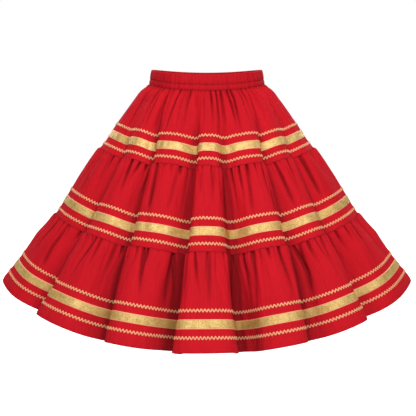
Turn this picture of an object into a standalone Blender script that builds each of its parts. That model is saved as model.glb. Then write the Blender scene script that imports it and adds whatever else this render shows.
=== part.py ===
"""Three-tier gathered square dance skirt with gold ribbon and ric-rac trim, as a hollow, worn form.

Metres, +Z up, front towards -Y. The origin is the middle of the waist opening, at half the height of
the waistband. The cloth is described by two numbers: `share`, the place round the strip from the back
(0 to 1), and `drop`, the distance down the cloth from the waistband's lower seam. A ring of cloth is a
wave of headings: where the heading turns inward and out again the cloth makes a flute, and the height
follows from cloth not stretching.
"""
import math
from collections import namedtuple

import bpy
import numpy as np

# Driving sizes
BAND_HEIGHT = 0.032
BAND_THICKNESS = 0.0034
BAND_GROOVE_DEPTH = 0.0011
CLOTH_THICKNESS = 0.0015
SEAM_GAP = 0.0003
TIER_LENGTHS = (0.1745, 0.1725, 0.1895)
WAIST_SADDLE = 0.008
RIBBON_WIDTH = 0.018
RIBBON_THICKNESS = 0.0010
RICRAC_WIDTH = 0.0064
RICRAC_HEIGHT = 0.0015
TRIM_LIFT = 0.0006
TRIM_SPACING = 0.025
RICRAC_ABOVE_SEAM = 0.0143
RICRAC_ABOVE_HEM = 0.0270

# Mesh density: columns of points round every tier, closer together where the hem turns. The straight
# stretches count as if they turned by EASY_TURN radians in once round the skirt.
COLUMNS = 120
FINE_SAMPLES = 2400
LEVELS = 105
EASY_TURN = 25.0
SLOPE_STEP = 0.004

# A valley's cloth hangs this share of the way to the height that its own shorter run would give it
VALLEY_SAG = 1.0

# Gathers: every second column stands out below a seam, then the wave dies away down the tier
GATHER_HEIGHT = 0.0022
GATHER_START = 0.010
GATHER_REACH = 0.075

SEAM_1 = TIER_LENGTHS[0]
SEAM_2 = SEAM_1 + TIER_LENGTHS[1]
HEM = SEAM_2 + TIER_LENGTHS[2]

# Outline of the ridges: half the width and half the depth of the skirt at each drop
Section = namedtuple("Section", "drop half_width half_depth")
SECTIONS = (
    Section(0.000, 0.1265, 0.1000),
    Section(0.022, 0.1460, 0.1165),
    Section(0.065, 0.1740, 0.1450),
    Section(0.113, 0.2025, 0.1745),
    Section(0.158, 0.2265, 0.1975),
    Section(SEAM_1, 0.2372, 0.2070),
    Section(SEAM_1 + 0.039, 0.2620, 0.2265),
    Section(SEAM_1 + 0.078, 0.2850, 0.2450),
    Section(SEAM_1 + 0.113, 0.3040, 0.2615),
    Section(SEAM_1 + 0.147, 0.3220, 0.2765),
    Section(SEAM_2, 0.3364, 0.2880),
    Section(SEAM_2 + 0.025, 0.3530, 0.3000),
    Section(SEAM_2 + 0.060, 0.3795, 0.3180),
    Section(SEAM_2 + 0.098, 0.4015, 0.3370),
    Section(SEAM_2 + 0.135, 0.4235, 0.3540),
    Section(HEM, 0.4590, 0.3770),
)

# Seen from above the skirt is an oval with blunt points at its sides, and narrower behind them. What its
# half width is multiplied by, at angles from the front; it takes full effect from the first seam down
Side = namedtuple("Side", "degrees share")
SIDES = (
    Side(0, 1.0),
    Side(50, 1.0),
    Side(74, 1.025),
    Side(86, 0.940),
    Side(100, 0.900),
    Side(180, 0.900),
)
SIDE_ROUNDING = (-3.0, -1.5, 0.0, 1.5, 3.0)

# Flutes: where each valley meets the hem, how much further round it starts at the waist, its spread along
# the cloth at the hem, how far its sides turn inward at the waist, at the two seams and at the hem, and how
# far its floor leans sideways for each unit of depth
Flute = namedtuple("Flute", "degrees drift spread waist seam_1 seam_2 hem lean")
FLUTES = (
    Flute(-164, -2, 0.034, 4, 32, 44, 74, 0.20),
    Flute(-141, 3, 0.036, 4, 30, 46, 78, -0.25),
    Flute(-116, -3, 0.035, 4, 34, 46, 72, 0.30),
    Flute(-89, 0, 0.031, 4, 28, 42, 76, -0.20),
    Flute(-55, 3, 0.033, 4, 30, 44, 72, -0.25),
    Flute(-31, -3, 0.036, 8, 62, 62, 74, -0.45),
    Flute(-13, 8, 0.035, 8, 64, 64, 80, -0.60),
    Flute(11.5, 0, 0.039, 6, 48, 58, 86, 0.20),
    Flute(30.5, 7, 0.035, 8, 62, 64, 74, 0.45),
    Flute(50.5, 4, 0.033, 4, 30, 44, 72, 0.25),
    Flute(88, 0, 0.031, 4, 28, 42, 76, 0.25),
    Flute(114, 3, 0.034, 4, 34, 44, 78, -0.30),
    Flute(138, -3, 0.036, 4, 30, 46, 72, 0.20),
    Flute(162, 2, 0.033, 4, 34, 46, 76, -0.15),
)

# The tiers from the waist down: drop of the top seam, rows of points as drops below it, and how far above
# the lower edge the lowest trim lies. Each trim lies between two rows.
Tier = namedtuple("Tier", "name top rows clearance")
UPPER_ROWS = (0.0, GATHER_START, 0.050, 0.106, TIER_LENGTHS[0])
MIDDLE_ROWS = (0.0, GATHER_START, 0.045, 0.098, TIER_LENGTHS[1])
LOWER_ROWS = (0.0, GATHER_START, 0.045, 0.094, 0.125, 0.155, TIER_LENGTHS[2])
TIERS = (
    Tier("upper", 0.0, UPPER_ROWS, RICRAC_ABOVE_SEAM),
    Tier("middle", SEAM_1, MIDDLE_ROWS, RICRAC_ABOVE_SEAM),
    Tier("lower", SEAM_2, LOWER_ROWS, RICRAC_ABOVE_HEM),
)

# The waistband's wall: share of its height from the top, and how far its outside stands from the plain band
BandRow = namedtuple("BandRow", "share outward")
BAND_ROWS = (
    BandRow(0.0, -0.0008),
    BandRow(0.12, 0.0),
    BandRow(0.60, -0.0002),
    BandRow(0.68, -BAND_GROOVE_DEPTH),
    BandRow(1.0, 0.0),
)
BAND_TOP_HALF = (0.1222, 0.0955)
BAND_FOOT_HALF = (0.1278, 0.1012)

# Edges that turn more than this are shaded sharp
SHARP_ANGLE = 50.0

# Colours
RED_COTTON = (0.62, 0.012, 0.025, 1.0)
GOLD_RIBBON = (0.74, 0.52, 0.14, 1.0)
GOLD_RICRAC = (0.86, 0.52, 0.22, 1.0)

FINE_SHARES = np.linspace(0.0, 1.0, FINE_SAMPLES + 1)
DROPS = np.linspace(0.0, HEM, LEVELS)


def bump(x):
    """Heading wave of one flute: inward before its floor, outward after it, largest one spread away."""
    return x * np.exp(0.5 * (1.0 - x * x))


def wrapped(difference):
    """A difference of shares round the ring, from -0.5 to 0.5."""
    return (difference + 0.5) % 1.0 - 0.5


def half_sizes(drop):
    """Half width and half depth of the ring of ridges at a drop."""
    drops = [section.drop for section in SECTIONS]
    half_width = np.interp(drop, drops, [section.half_width for section in SECTIONS])
    half_depth = np.interp(drop, drops, [section.half_depth for section in SECTIONS])
    return half_width, half_depth


def girth(drop):
    """Length once round the ring of ridges."""
    half_width, half_depth = half_sizes(drop)
    return math.pi * math.sqrt(2.0 * (half_width**2 + half_depth**2))


def side_share(angle, drop):
    """What the oval's half width is multiplied by at an angle from the front, in radians."""
    degrees = np.abs(np.degrees(angle))
    table = [side.degrees for side in SIDES], [side.share for side in SIDES]
    share = np.mean([np.interp(degrees + turn, *table) for turn in SIDE_ROUNDING], axis=0)
    return 1.0 + (share - 1.0) * min(drop / SEAM_1, 1.0)


def swing(flute, drop):
    """Largest heading of a flute at a drop, in radians."""
    stations = (0.0, SEAM_1, SEAM_2, HEM)
    return math.radians(np.interp(drop, stations, (flute.waist, flute.seam_1, flute.seam_2, flute.hem)))


def take_up(flute):
    """Cloth that a flute takes out of the hem."""
    x = np.linspace(-5.0, 5.0, 401)
    lost = 1.0 - np.cos(swing(flute, HEM) * bump(x))
    return float(lost.sum() * (x[1] - x[0]) * flute.spread)


def flute_places():
    """Length of the hem once round the cloth, and each flute's centre, drift and spread as shares of it."""
    taken = [take_up(flute) for flute in FLUTES]
    cloth = girth(HEM) + sum(taken)
    places = []
    before = 0.0
    for flute, lost in zip(FLUTES, taken):
        along = girth(HEM) * (flute.degrees + 180.0) / 360.0 + before + lost / 2.0
        drift = girth(HEM) * flute.drift / 360.0
        places.append((along / cloth, drift / cloth, flute.spread / cloth))
        before += lost
    return cloth, places


HEM_CLOTH, PLACES = flute_places()


def running_sum(values):
    """Integral of values over FINE_SHARES, starting at zero."""
    steps = (values[1:] + values[:-1]) / 2.0 / FINE_SAMPLES
    return np.concatenate([[0.0], np.cumsum(steps)])


def ring(drop):
    """The ring of cloth at a drop: angle round the skirt and offset from the ring of ridges.

    Both are given at FINE_SHARES.
    """
    heading = np.zeros_like(FINE_SHARES)
    lean = np.zeros_like(FINE_SHARES)
    centres = [centre + drift * (1.0 - drop / HEM) for centre, drift, _ in PLACES]
    for flute, centre, (_, _, spread) in zip(FLUTES, centres, PLACES):
        x = wrapped(FINE_SHARES - centre) / spread
        heading += swing(flute, drop) * bump(x)
        lean += flute.lean * np.exp(-0.5 * (x / 1.7) ** 2)
    ahead = running_sum(np.cos(heading))
    aside = running_sum(np.sin(heading))
    cloth = girth(drop) / ahead[-1]
    offset = (aside - aside[-1] * FINE_SHARES) * cloth
    ridges = [(a + b) / 2.0 for a, b in zip(centres, centres[1:])]
    offset -= np.interp(ridges, FINE_SHARES, offset).mean()
    turn = ahead / ahead[-1] + lean * offset / girth(drop)
    return (turn - 0.5) * 2.0 * math.pi, offset


def unit(vectors):
    """The same vectors at length one."""
    return vectors / np.linalg.norm(vectors, axis=-1, keepdims=True)


def plan_points(drop, shares):
    """Points at a drop, seen from above: on the ring of ridges, and on the cloth."""
    angle, offset = ring(drop)
    angle = np.interp(shares, FINE_SHARES, angle)
    offset = np.interp(shares, FINE_SHARES, offset)
    half_width, half_depth = half_sizes(drop)
    across = half_width * side_share(angle, drop) * np.sin(angle)
    ridge = np.stack([across, -half_depth * np.cos(angle)], axis=1)
    outward = unit(np.stack([half_depth * np.sin(angle), -half_width * np.cos(angle)], axis=1))
    return ridge, ridge + outward * offset[:, None]


def saddle(points):
    """How far the waist dips at the front and back, below its sides, at points seen from above."""
    angle = np.arctan2(points[:, 0] / BAND_FOOT_HALF[0], -points[:, 1] / BAND_FOOT_HALF[1])
    return -WAIST_SADDLE * np.cos(angle) ** 2


def cloth_points(shares):
    """The cloth's middle surface: LEVELS rows of points, one for each share."""
    plans = [plan_points(drop, shares) for drop in DROPS]
    height = -BAND_HEIGHT / 2.0 + saddle(plans[0][1])
    rows = [np.column_stack([plans[0][1], height])]
    step = DROPS[1] - DROPS[0]
    for (ridge, cloth), (next_ridge, next_cloth) in zip(plans, plans[1:]):
        ridge_run = np.linalg.norm(next_ridge - ridge, axis=1)
        cloth_run = np.linalg.norm(next_cloth - cloth, axis=1)
        run = ridge_run + (cloth_run - ridge_run) * VALLEY_SAG
        height = height - np.sqrt(np.maximum(step**2 - run**2, (0.35 * step) ** 2))
        rows.append(np.column_stack([next_cloth, height]))
    return np.array(rows)


def column_shares():
    """Shares of the columns, closer together where the hem turns."""
    _, hem = plan_points(HEM, FINE_SHARES)
    direction = np.gradient(hem, axis=0)
    heading = np.unwrap(np.arctan2(direction[:, 1], direction[:, 0]))
    turning = np.abs(np.gradient(heading, FINE_SHARES))
    measure = running_sum(np.sqrt(EASY_TURN + turning))
    return np.interp(np.arange(COLUMNS) / COLUMNS, measure / measure[-1], FINE_SHARES)


SHARES = column_shares()
SURFACE = cloth_points(SHARES)


def row_at(drop):
    """The cloth's row of points at any drop."""
    place = drop / HEM * (LEVELS - 1)
    lower = min(int(place), LEVELS - 2)
    part = place - lower
    return SURFACE[lower] * (1.0 - part) + SURFACE[lower + 1] * part


def normals_of(grid):
    """Outward unit normals of a ring-shaped grid of points, rows by columns."""
    round_it = np.roll(grid, -1, axis=1) - np.roll(grid, 1, axis=1)
    return unit(np.cross(np.gradient(grid, axis=0), round_it))


def seam_normals(drop):
    """Outward unit normals of the cloth without gathers, the same for what lies above and below a seam."""
    above, below = row_at(max(drop - SLOPE_STEP, 0.0)), row_at(min(drop + SLOPE_STEP, HEM))
    down = below - above
    if drop == 0.0:
        down = np.broadcast_to([0.0, 0.0, -1.0], below.shape)
    here = row_at(drop)
    return unit(np.cross(down, np.roll(here, -1, axis=0) - np.roll(here, 1, axis=0)))


def gather_height(below_seam):
    """How far a gather's crest stands out at a distance below its seam."""
    rise = np.clip(below_seam / GATHER_START, 0.0, 1.0)
    fade = np.clip(1.0 - (below_seam - GATHER_START) / GATHER_REACH, 0.0, 1.0)
    return GATHER_HEIGHT * rise * fade


def tier_walls(tier):
    """Points of a tier's outside and inside, rows by columns, and the outward normals there."""
    grid = np.array([row_at(tier.top + row) for row in tier.rows])
    wave = np.where(np.arange(COLUMNS) % 2 == 0, 1.0, -1.0)
    height = np.array([gather_height(row) for row in tier.rows])
    grid += normals_of(grid) * (height[:, None] * wave[None, :])[:, :, None]
    normals = normals_of(grid)
    normals[0] = seam_normals(tier.top)
    normals[-1] = seam_normals(tier.top + tier.rows[-1])
    grid[0] += SEAM_GAP * unit(grid[1] - grid[0])
    lift = normals * CLOTH_THICKNESS / 2.0
    return grid + lift, grid - lift, normals


def falling_diagonals(upper, lower, normals):
    """For each column of a band, whether the diagonal down to the next column is the one further inside."""
    falling = (upper + np.roll(lower, -1, axis=0)) / 2.0
    rising = (lower + np.roll(upper, -1, axis=0)) / 2.0
    return ((rising - falling) * normals).sum(axis=1) > 0.0


def material(name, colour, roughness, metallic=0.0):
    """A plain finish."""
    made = bpy.data.materials.new(name)
    made.use_nodes = True
    shader = made.node_tree.nodes["Principled BSDF"]
    shader.inputs["Base Color"].default_value = colour
    shader.inputs["Roughness"].default_value = roughness
    shader.inputs["Metallic"].default_value = metallic
    return made


def add_ring(name, loops, diagonals, finish):
    """A closed ring-shaped solid.

    The loops of points go once round its section in order; diagonals says for each of them, column by
    column, which way the faces between it and the loop after it are cut into triangles.
    """
    loops = np.array(loops)
    count, columns = loops.shape[:2]
    faces = []
    for loop in range(count):
        after = (loop + 1) % count
        for column in range(columns):
            beside = (column + 1) % columns
            here, below = loop * columns + column, after * columns + column
            next_here, next_below = loop * columns + beside, after * columns + beside
            if diagonals[loop][column]:
                faces += [(here, below, next_below), (here, next_below, next_here)]
            else:
                faces += [(here, below, next_here), (below, next_below, next_here)]
    mesh = bpy.data.meshes.new(name)
    mesh.from_pydata(loops.reshape(-1, 3).tolist(), [], faces)
    mesh.materials.append(finish)
    mesh.validate()
    mesh.shade_smooth()
    mesh.set_sharp_from_angle(angle=math.radians(SHARP_ANGLE))
    obj = bpy.data.objects.new(name, mesh)
    bpy.context.scene.collection.objects.link(obj)
    return obj


class TierCloth:
    """One tier's walls, and the places of the trims that lie on it."""

    def __init__(self, tier):
        self.rows = tier.rows
        self.outside, self.inside, self.normals = tier_walls(tier)
        self.diagonals = [
            falling_diagonals(self.outside[row], self.outside[row + 1], self.normals[row])
            for row in range(len(tier.rows) - 1)
        ]

    def add(self, name, finish):
        """The gathered strip of cloth, joined into a ring, its walls cut into triangles the same way."""
        plain = np.ones(COLUMNS, dtype=bool)
        back = [~diagonal for diagonal in self.diagonals[::-1]]
        diagonals = [*self.diagonals, plain, *back, plain]
        return add_ring(name, [*self.outside, *self.inside[::-1]], diagonals, finish)

    def band_of(self, drop):
        """The band between two rows that a drop lies in."""
        return max(index for index, row in enumerate(self.rows[:-1]) if row <= drop)

    def points_above(self, drop, lift):
        """Points a distance outside the cloth, at a drop below the tier's top."""
        band = self.band_of(drop)
        part = (drop - self.rows[band]) / (self.rows[band + 1] - self.rows[band])
        points = self.outside[band] * (1.0 - part) + self.outside[band + 1] * part
        normals = unit(self.normals[band] * (1.0 - part) + self.normals[band + 1] * part)
        return points + normals * lift

    def add_trim(self, name, section, middle, finish):
        """A strip on the tier. Its section is pairs of a drop from its middle and a distance outside."""
        loops = [self.points_above(middle + drop, lift) for drop, lift in section]
        falling = self.diagonals[self.band_of(middle)]
        steps = zip(section, section[1:] + section[:1])
        diagonals = [falling if after[0] >= here[0] else ~falling for here, after in steps]
        return add_ring(name, loops, diagonals, finish)


def ribbon_section():
    """A flat ribbon."""
    half = RIBBON_WIDTH / 2.0
    far = TRIM_LIFT + RIBBON_THICKNESS
    return [(-half, far), (half, far), (half, TRIM_LIFT), (-half, TRIM_LIFT)]


def ricrac_section():
    """A low bead as wide as the ric-rac's zigzag."""
    half = RICRAC_WIDTH / 2.0
    return [(0.0, TRIM_LIFT + RICRAC_HEIGHT), (half, TRIM_LIFT), (-half, TRIM_LIFT)]


def add_waistband(finish):
    """The elastic casing: a thicker ring with a stitched groove, above the first tier."""
    angle = np.interp(SHARES[::2], FINE_SHARES, ring(0.0)[0])
    outside = []
    inside = []
    for row in BAND_ROWS:
        half_width = BAND_TOP_HALF[0] + (BAND_FOOT_HALF[0] - BAND_TOP_HALF[0]) * row.share
        half_depth = BAND_TOP_HALF[1] + (BAND_FOOT_HALF[1] - BAND_TOP_HALF[1]) * row.share
        height = BAND_HEIGHT * (0.5 - row.share)
        for points, outward in ((outside, row.outward), (inside, -BAND_THICKNESS)):
            across, along = half_width + outward, half_depth + outward
            plan = np.stack([across * np.sin(angle), -along * np.cos(angle)], axis=1)
            points.append(np.column_stack([plan, height + saddle(plan)]))
    loops = [*outside, *inside[::-1]]
    plain = np.ones(len(angle), dtype=bool)
    return add_ring("waistband", loops, [plain] * len(loops), finish)


def main():
    """Builds the skirt."""
    for obj in list(bpy.data.objects):
        bpy.data.objects.remove(obj, do_unlink=True)
    cotton = material("red_cotton", RED_COTTON, 0.85)
    gold = material("gold_ribbon", GOLD_RIBBON, 0.35, 0.6)
    braid = material("gold_ricrac", GOLD_RICRAC, 0.55, 0.2)
    add_waistband(cotton)
    for tier in TIERS:
        cloth = TierCloth(tier)
        cloth.add(f"{tier.name}_tier", cotton)
        foot = tier.rows[-1] - tier.clearance
        cloth.add_trim(f"{tier.name}_ricrac_foot", ricrac_section(), foot, braid)
        cloth.add_trim(f"{tier.name}_ribbon", ribbon_section(), foot - TRIM_SPACING, gold)
        cloth.add_trim(f"{tier.name}_ricrac_head", ricrac_section(), foot - 2.0 * TRIM_SPACING, braid)


main()
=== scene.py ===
"""A three-tier square dance skirt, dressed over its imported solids.

Metres, +Z up, front towards -Y, the origin in the middle of the waist opening. The cloth is described by
`share`, the place round the strip from the back (0 to 1), and `drop`, the distance down the cloth from the
waistband's lower seam. The large flutes are those of the solids; on them lie gathers, creases and puffs.
"""
import logging
import math
from dataclasses import dataclass
from enum import Enum
from typing import NamedTuple, Sequence

import bpy
import numpy as np
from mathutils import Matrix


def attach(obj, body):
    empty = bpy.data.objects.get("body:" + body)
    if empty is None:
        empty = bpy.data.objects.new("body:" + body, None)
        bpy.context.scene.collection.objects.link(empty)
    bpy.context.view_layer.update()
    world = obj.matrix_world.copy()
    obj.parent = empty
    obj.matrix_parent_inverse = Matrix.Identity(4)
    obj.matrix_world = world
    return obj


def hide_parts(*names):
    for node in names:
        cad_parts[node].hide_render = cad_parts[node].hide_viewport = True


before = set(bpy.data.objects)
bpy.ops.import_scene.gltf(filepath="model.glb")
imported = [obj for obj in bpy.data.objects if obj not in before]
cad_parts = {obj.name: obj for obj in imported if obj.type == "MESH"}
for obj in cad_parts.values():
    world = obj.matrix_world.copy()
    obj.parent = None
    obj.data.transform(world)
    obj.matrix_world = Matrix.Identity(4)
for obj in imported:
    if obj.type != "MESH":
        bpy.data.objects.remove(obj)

LOG = logging.getLogger("skirt")


class Slot(Enum):
    """The record's material slots."""

    COTTON = "red_cotton"
    RIBBON = "gold_ribbon"
    RICRAC = "gold_ricrac"


class Held(Enum):
    """How a piece of cloth is held."""

    GATHERED = "gathered"
    LAID = "laid"


class Section(NamedTuple):
    """Half the width and half the depth of the ring of ridges at a drop."""

    drop: float
    half_width: float
    half_depth: float


class Side(NamedTuple):
    """What the oval's half width is multiplied by at an angle from the front."""

    degrees: float
    share: float


class Flute(NamedTuple):
    """One large fold: its valley's angle at the hem and how much further round it starts at the waist, its
    spread at the hem, its swing at four drops, and its lean."""

    degrees: float
    drift: float
    spread: float
    waist: float
    seam_1: float
    seam_2: float
    hem: float
    lean: float


class Crease(NamedTuple):
    """One soft trough (height below 0) or ridge on a tier, in degrees and millimetres."""

    degrees: float
    top: float
    length: float
    width: float
    height: float
    drift: float


# Each tier's length of cloth, and the drops of the seams and the hem
TIER_LENGTHS = (0.1745, 0.1725, 0.1895)
SEAM_1 = TIER_LENGTHS[0]
SEAM_2 = SEAM_1 + TIER_LENGTHS[1]
HEM = SEAM_2 + TIER_LENGTHS[2]
# The waistband's height, its foot's half width and half depth, and the waist's dip at front and back
BAND_HEIGHT = 0.032
BAND_FOOT = (0.1278, 0.1012)
WAIST_SADDLE = 0.008
# The ribbon's width, from a braid to the ribbon's middle, and from the lower braid to the tier's edge
RIBBON_WIDTH = 0.018
TRIM_SPACING = 0.025
SEAM_CLEARANCE = 0.0143
HEM_CLEARANCE = 0.0270

SECTIONS = (
    Section(0.000, 0.1265, 0.1000),
    Section(0.022, 0.1460, 0.1165),
    Section(0.065, 0.1740, 0.1450),
    Section(0.113, 0.2025, 0.1745),
    Section(0.158, 0.2265, 0.1975),
    Section(SEAM_1, 0.2372, 0.2070),
    Section(SEAM_1 + 0.039, 0.2620, 0.2265),
    Section(SEAM_1 + 0.078, 0.2850, 0.2450),
    Section(SEAM_1 + 0.113, 0.3040, 0.2615),
    Section(SEAM_1 + 0.147, 0.3220, 0.2765),
    Section(SEAM_2, 0.3364, 0.2880),
    Section(SEAM_2 + 0.025, 0.3530, 0.3000),
    Section(SEAM_2 + 0.060, 0.3795, 0.3180),
    Section(SEAM_2 + 0.098, 0.4015, 0.3370),
    Section(SEAM_2 + 0.135, 0.4235, 0.3540),
    Section(HEM, 0.4590, 0.3770),
)

SIDES = (
    Side(0, 1.0),
    Side(50, 1.0),
    Side(74, 1.025),
    Side(86, 0.940),
    Side(100, 0.900),
    Side(180, 0.900),
)
SIDE_ROUNDING = (-3.0, -1.5, 0.0, 1.5, 3.0)

FLUTES = (
    Flute(-164, -2, 0.034, 4, 32, 44, 74, 0.20),
    Flute(-141, 3, 0.036, 4, 30, 46, 78, -0.25),
    Flute(-116, -3, 0.035, 4, 34, 46, 72, 0.30),
    Flute(-89, 0, 0.031, 4, 28, 42, 76, -0.20),
    Flute(-55, 3, 0.033, 4, 30, 44, 72, -0.25),
    Flute(-31, -3, 0.036, 8, 62, 62, 74, -0.45),
    Flute(-13, 8, 0.035, 8, 64, 64, 80, -0.60),
    Flute(11.5, 0, 0.039, 6, 48, 58, 86, 0.20),
    Flute(30.5, 7, 0.035, 8, 62, 64, 74, 0.45),
    Flute(50.5, 4, 0.033, 4, 30, 44, 72, 0.25),
    Flute(88, 0, 0.031, 4, 28, 42, 76, 0.25),
    Flute(114, 3, 0.034, 4, 34, 44, 78, -0.30),
    Flute(138, -3, 0.036, 4, 30, 46, 72, 0.20),
    Flute(162, 2, 0.033, 4, 34, 46, 76, -0.15),
)

# Main creases of the upper tier, hanging from the waistband
UPPER_CREASES = (
    Crease(-58, 2, 105, 7.0, -2.6, -0.10),
    Crease(-46, 4, 80, 5.0, -2.2, -0.08),
    Crease(-37, 2, 125, 7.0, -2.8, -0.05),
    Crease(-26, 3, 95, 5.5, -2.4, -0.04),
    Crease(-17, 2, 120, 6.0, -2.6, 0.02),
    Crease(-7, 4, 85, 5.0, -2.2, 0.00),
    Crease(1, 2, 110, 6.5, -2.6, 0.02),
    Crease(12, 3, 90, 5.0, -2.2, 0.03),
    Crease(20, 2, 130, 7.0, -2.8, 0.02),
    Crease(33, 3, 95, 5.5, -2.4, 0.06),
    Crease(43, 2, 115, 6.5, -2.6, 0.08),
    Crease(57, 3, 90, 6.0, -2.4, 0.10),
    Crease(74, 2, 110, 7.0, -2.6, 0.05),
    Crease(95, 2, 100, 6.5, -2.4, -0.04),
    Crease(116, 3, 120, 7.0, -2.6, 0.05),
    Crease(134, 2, 95, 6.0, -2.4, -0.05),
    Crease(153, 3, 115, 7.0, -2.6, 0.04),
    Crease(172, 2, 105, 6.0, -2.4, 0.00),
    Crease(-168, 2, 120, 7.0, -2.6, -0.04),
    Crease(-150, 3, 90, 6.0, -2.2, 0.05),
    Crease(-131, 2, 115, 7.0, -2.6, -0.04),
    Crease(-112, 3, 95, 6.0, -2.4, 0.04),
    Crease(-94, 2, 120, 7.0, -2.6, -0.05),
    Crease(-76, 3, 100, 6.0, -2.4, -0.08),
)

# Main creases of the middle tier, below the first seam
MIDDLE_CREASES = (
    Crease(-64, 2, 70, 9.0, -3.4, -0.10),
    Crease(-50, 1, 95, 10.0, -3.8, -0.06),
    Crease(-41, 3, 60, 7.0, -2.8, -0.04),
    Crease(-23, 1, 80, 9.0, -3.2, -0.04),
    Crease(-4, 2, 75, 8.0, -3.0, 0.02),
    Crease(3, 1, 60, 7.0, -2.6, 0.02),
    Crease(19, 2, 90, 9.0, -3.4, 0.04),
    Crease(25, 3, 60, 7.0, -2.8, 0.04),
    Crease(41, 1, 85, 9.0, -3.4, 0.05),
    Crease(63, 2, 75, 10.0, -3.6, 0.10),
    Crease(78, 1, 95, 11.0, -3.8, 0.04),
    Crease(103, 2, 70, 9.0, -3.2, -0.05),
    Crease(126, 1, 90, 10.0, -3.6, 0.05),
    Crease(150, 2, 75, 9.0, -3.2, -0.04),
    Crease(174, 1, 90, 10.0, -3.6, 0.04),
    Crease(-152, 2, 80, 9.0, -3.2, 0.05),
    Crease(-128, 1, 90, 10.0, -3.6, -0.05),
    Crease(-105, 2, 70, 9.0, -3.2, 0.05),
    Crease(-80, 1, 95, 11.0, -3.8, -0.05),
)

# Main creases of the lower tier, below the second seam
LOWER_CREASES = (
    Crease(-70, 2, 95, 12.0, -4.2, -0.08),
    Crease(-50, 1, 80, 10.0, -4.0, -0.05),
    Crease(-43, 2, 105, 12.0, -4.4, -0.03),
    Crease(-24, 1, 85, 10.0, -4.0, -0.03),
    Crease(-19, 3, 60, 8.0, -3.0, -0.02),
    Crease(-2, 2, 70, 9.0, -3.4, 0.02),
    Crease(4, 1, 90, 9.0, -3.4, 0.02),
    Crease(17, 2, 80, 10.0, -3.8, 0.03),
    Crease(24, 1, 100, 11.0, -4.2, 0.03),
    Crease(42, 2, 85, 11.0, -4.2, 0.05),
    Crease(47, 1, 60, 9.0, -3.2, 0.05),
    Crease(66, 2, 100, 13.0, -4.4, 0.08),
    Crease(79, 1, 80, 11.0, -4.0, 0.04),
    Crease(102, 2, 95, 12.0, -4.2, -0.05),
    Crease(126, 1, 80, 11.0, -4.0, 0.05),
    Crease(150, 2, 100, 12.0, -4.4, -0.04),
    Crease(176, 1, 80, 11.0, -4.0, 0.04),
    Crease(-152, 2, 95, 12.0, -4.2, 0.05),
    Crease(-128, 1, 85, 11.0, -4.0, -0.05),
    Crease(-104, 2, 100, 12.0, -4.4, 0.05),
    Crease(-82, 1, 80, 11.0, -4.0, -0.05),
)


def unit(vectors: np.ndarray) -> np.ndarray:
    """The same vectors at length one."""
    return vectors / np.linalg.norm(vectors, axis=-1, keepdims=True)


def wrapped(difference: np.ndarray) -> np.ndarray:
    """A difference of shares round the ring, from -0.5 to 0.5."""
    return (difference + 0.5) % 1.0 - 0.5


def smooth_step(value: np.ndarray, low: float, high: float) -> np.ndarray:
    """A soft rise from 0 at low to 1 at high."""
    part = np.clip((value - low) / (high - low), 0.0, 1.0)
    return part * part * (3.0 - 2.0 * part)


def waist_dip(angle: np.ndarray) -> np.ndarray:
    """How far the waist dips at the front and back, at angles from the front."""
    return WAIST_SADDLE * np.cos(angle) ** 2


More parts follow.
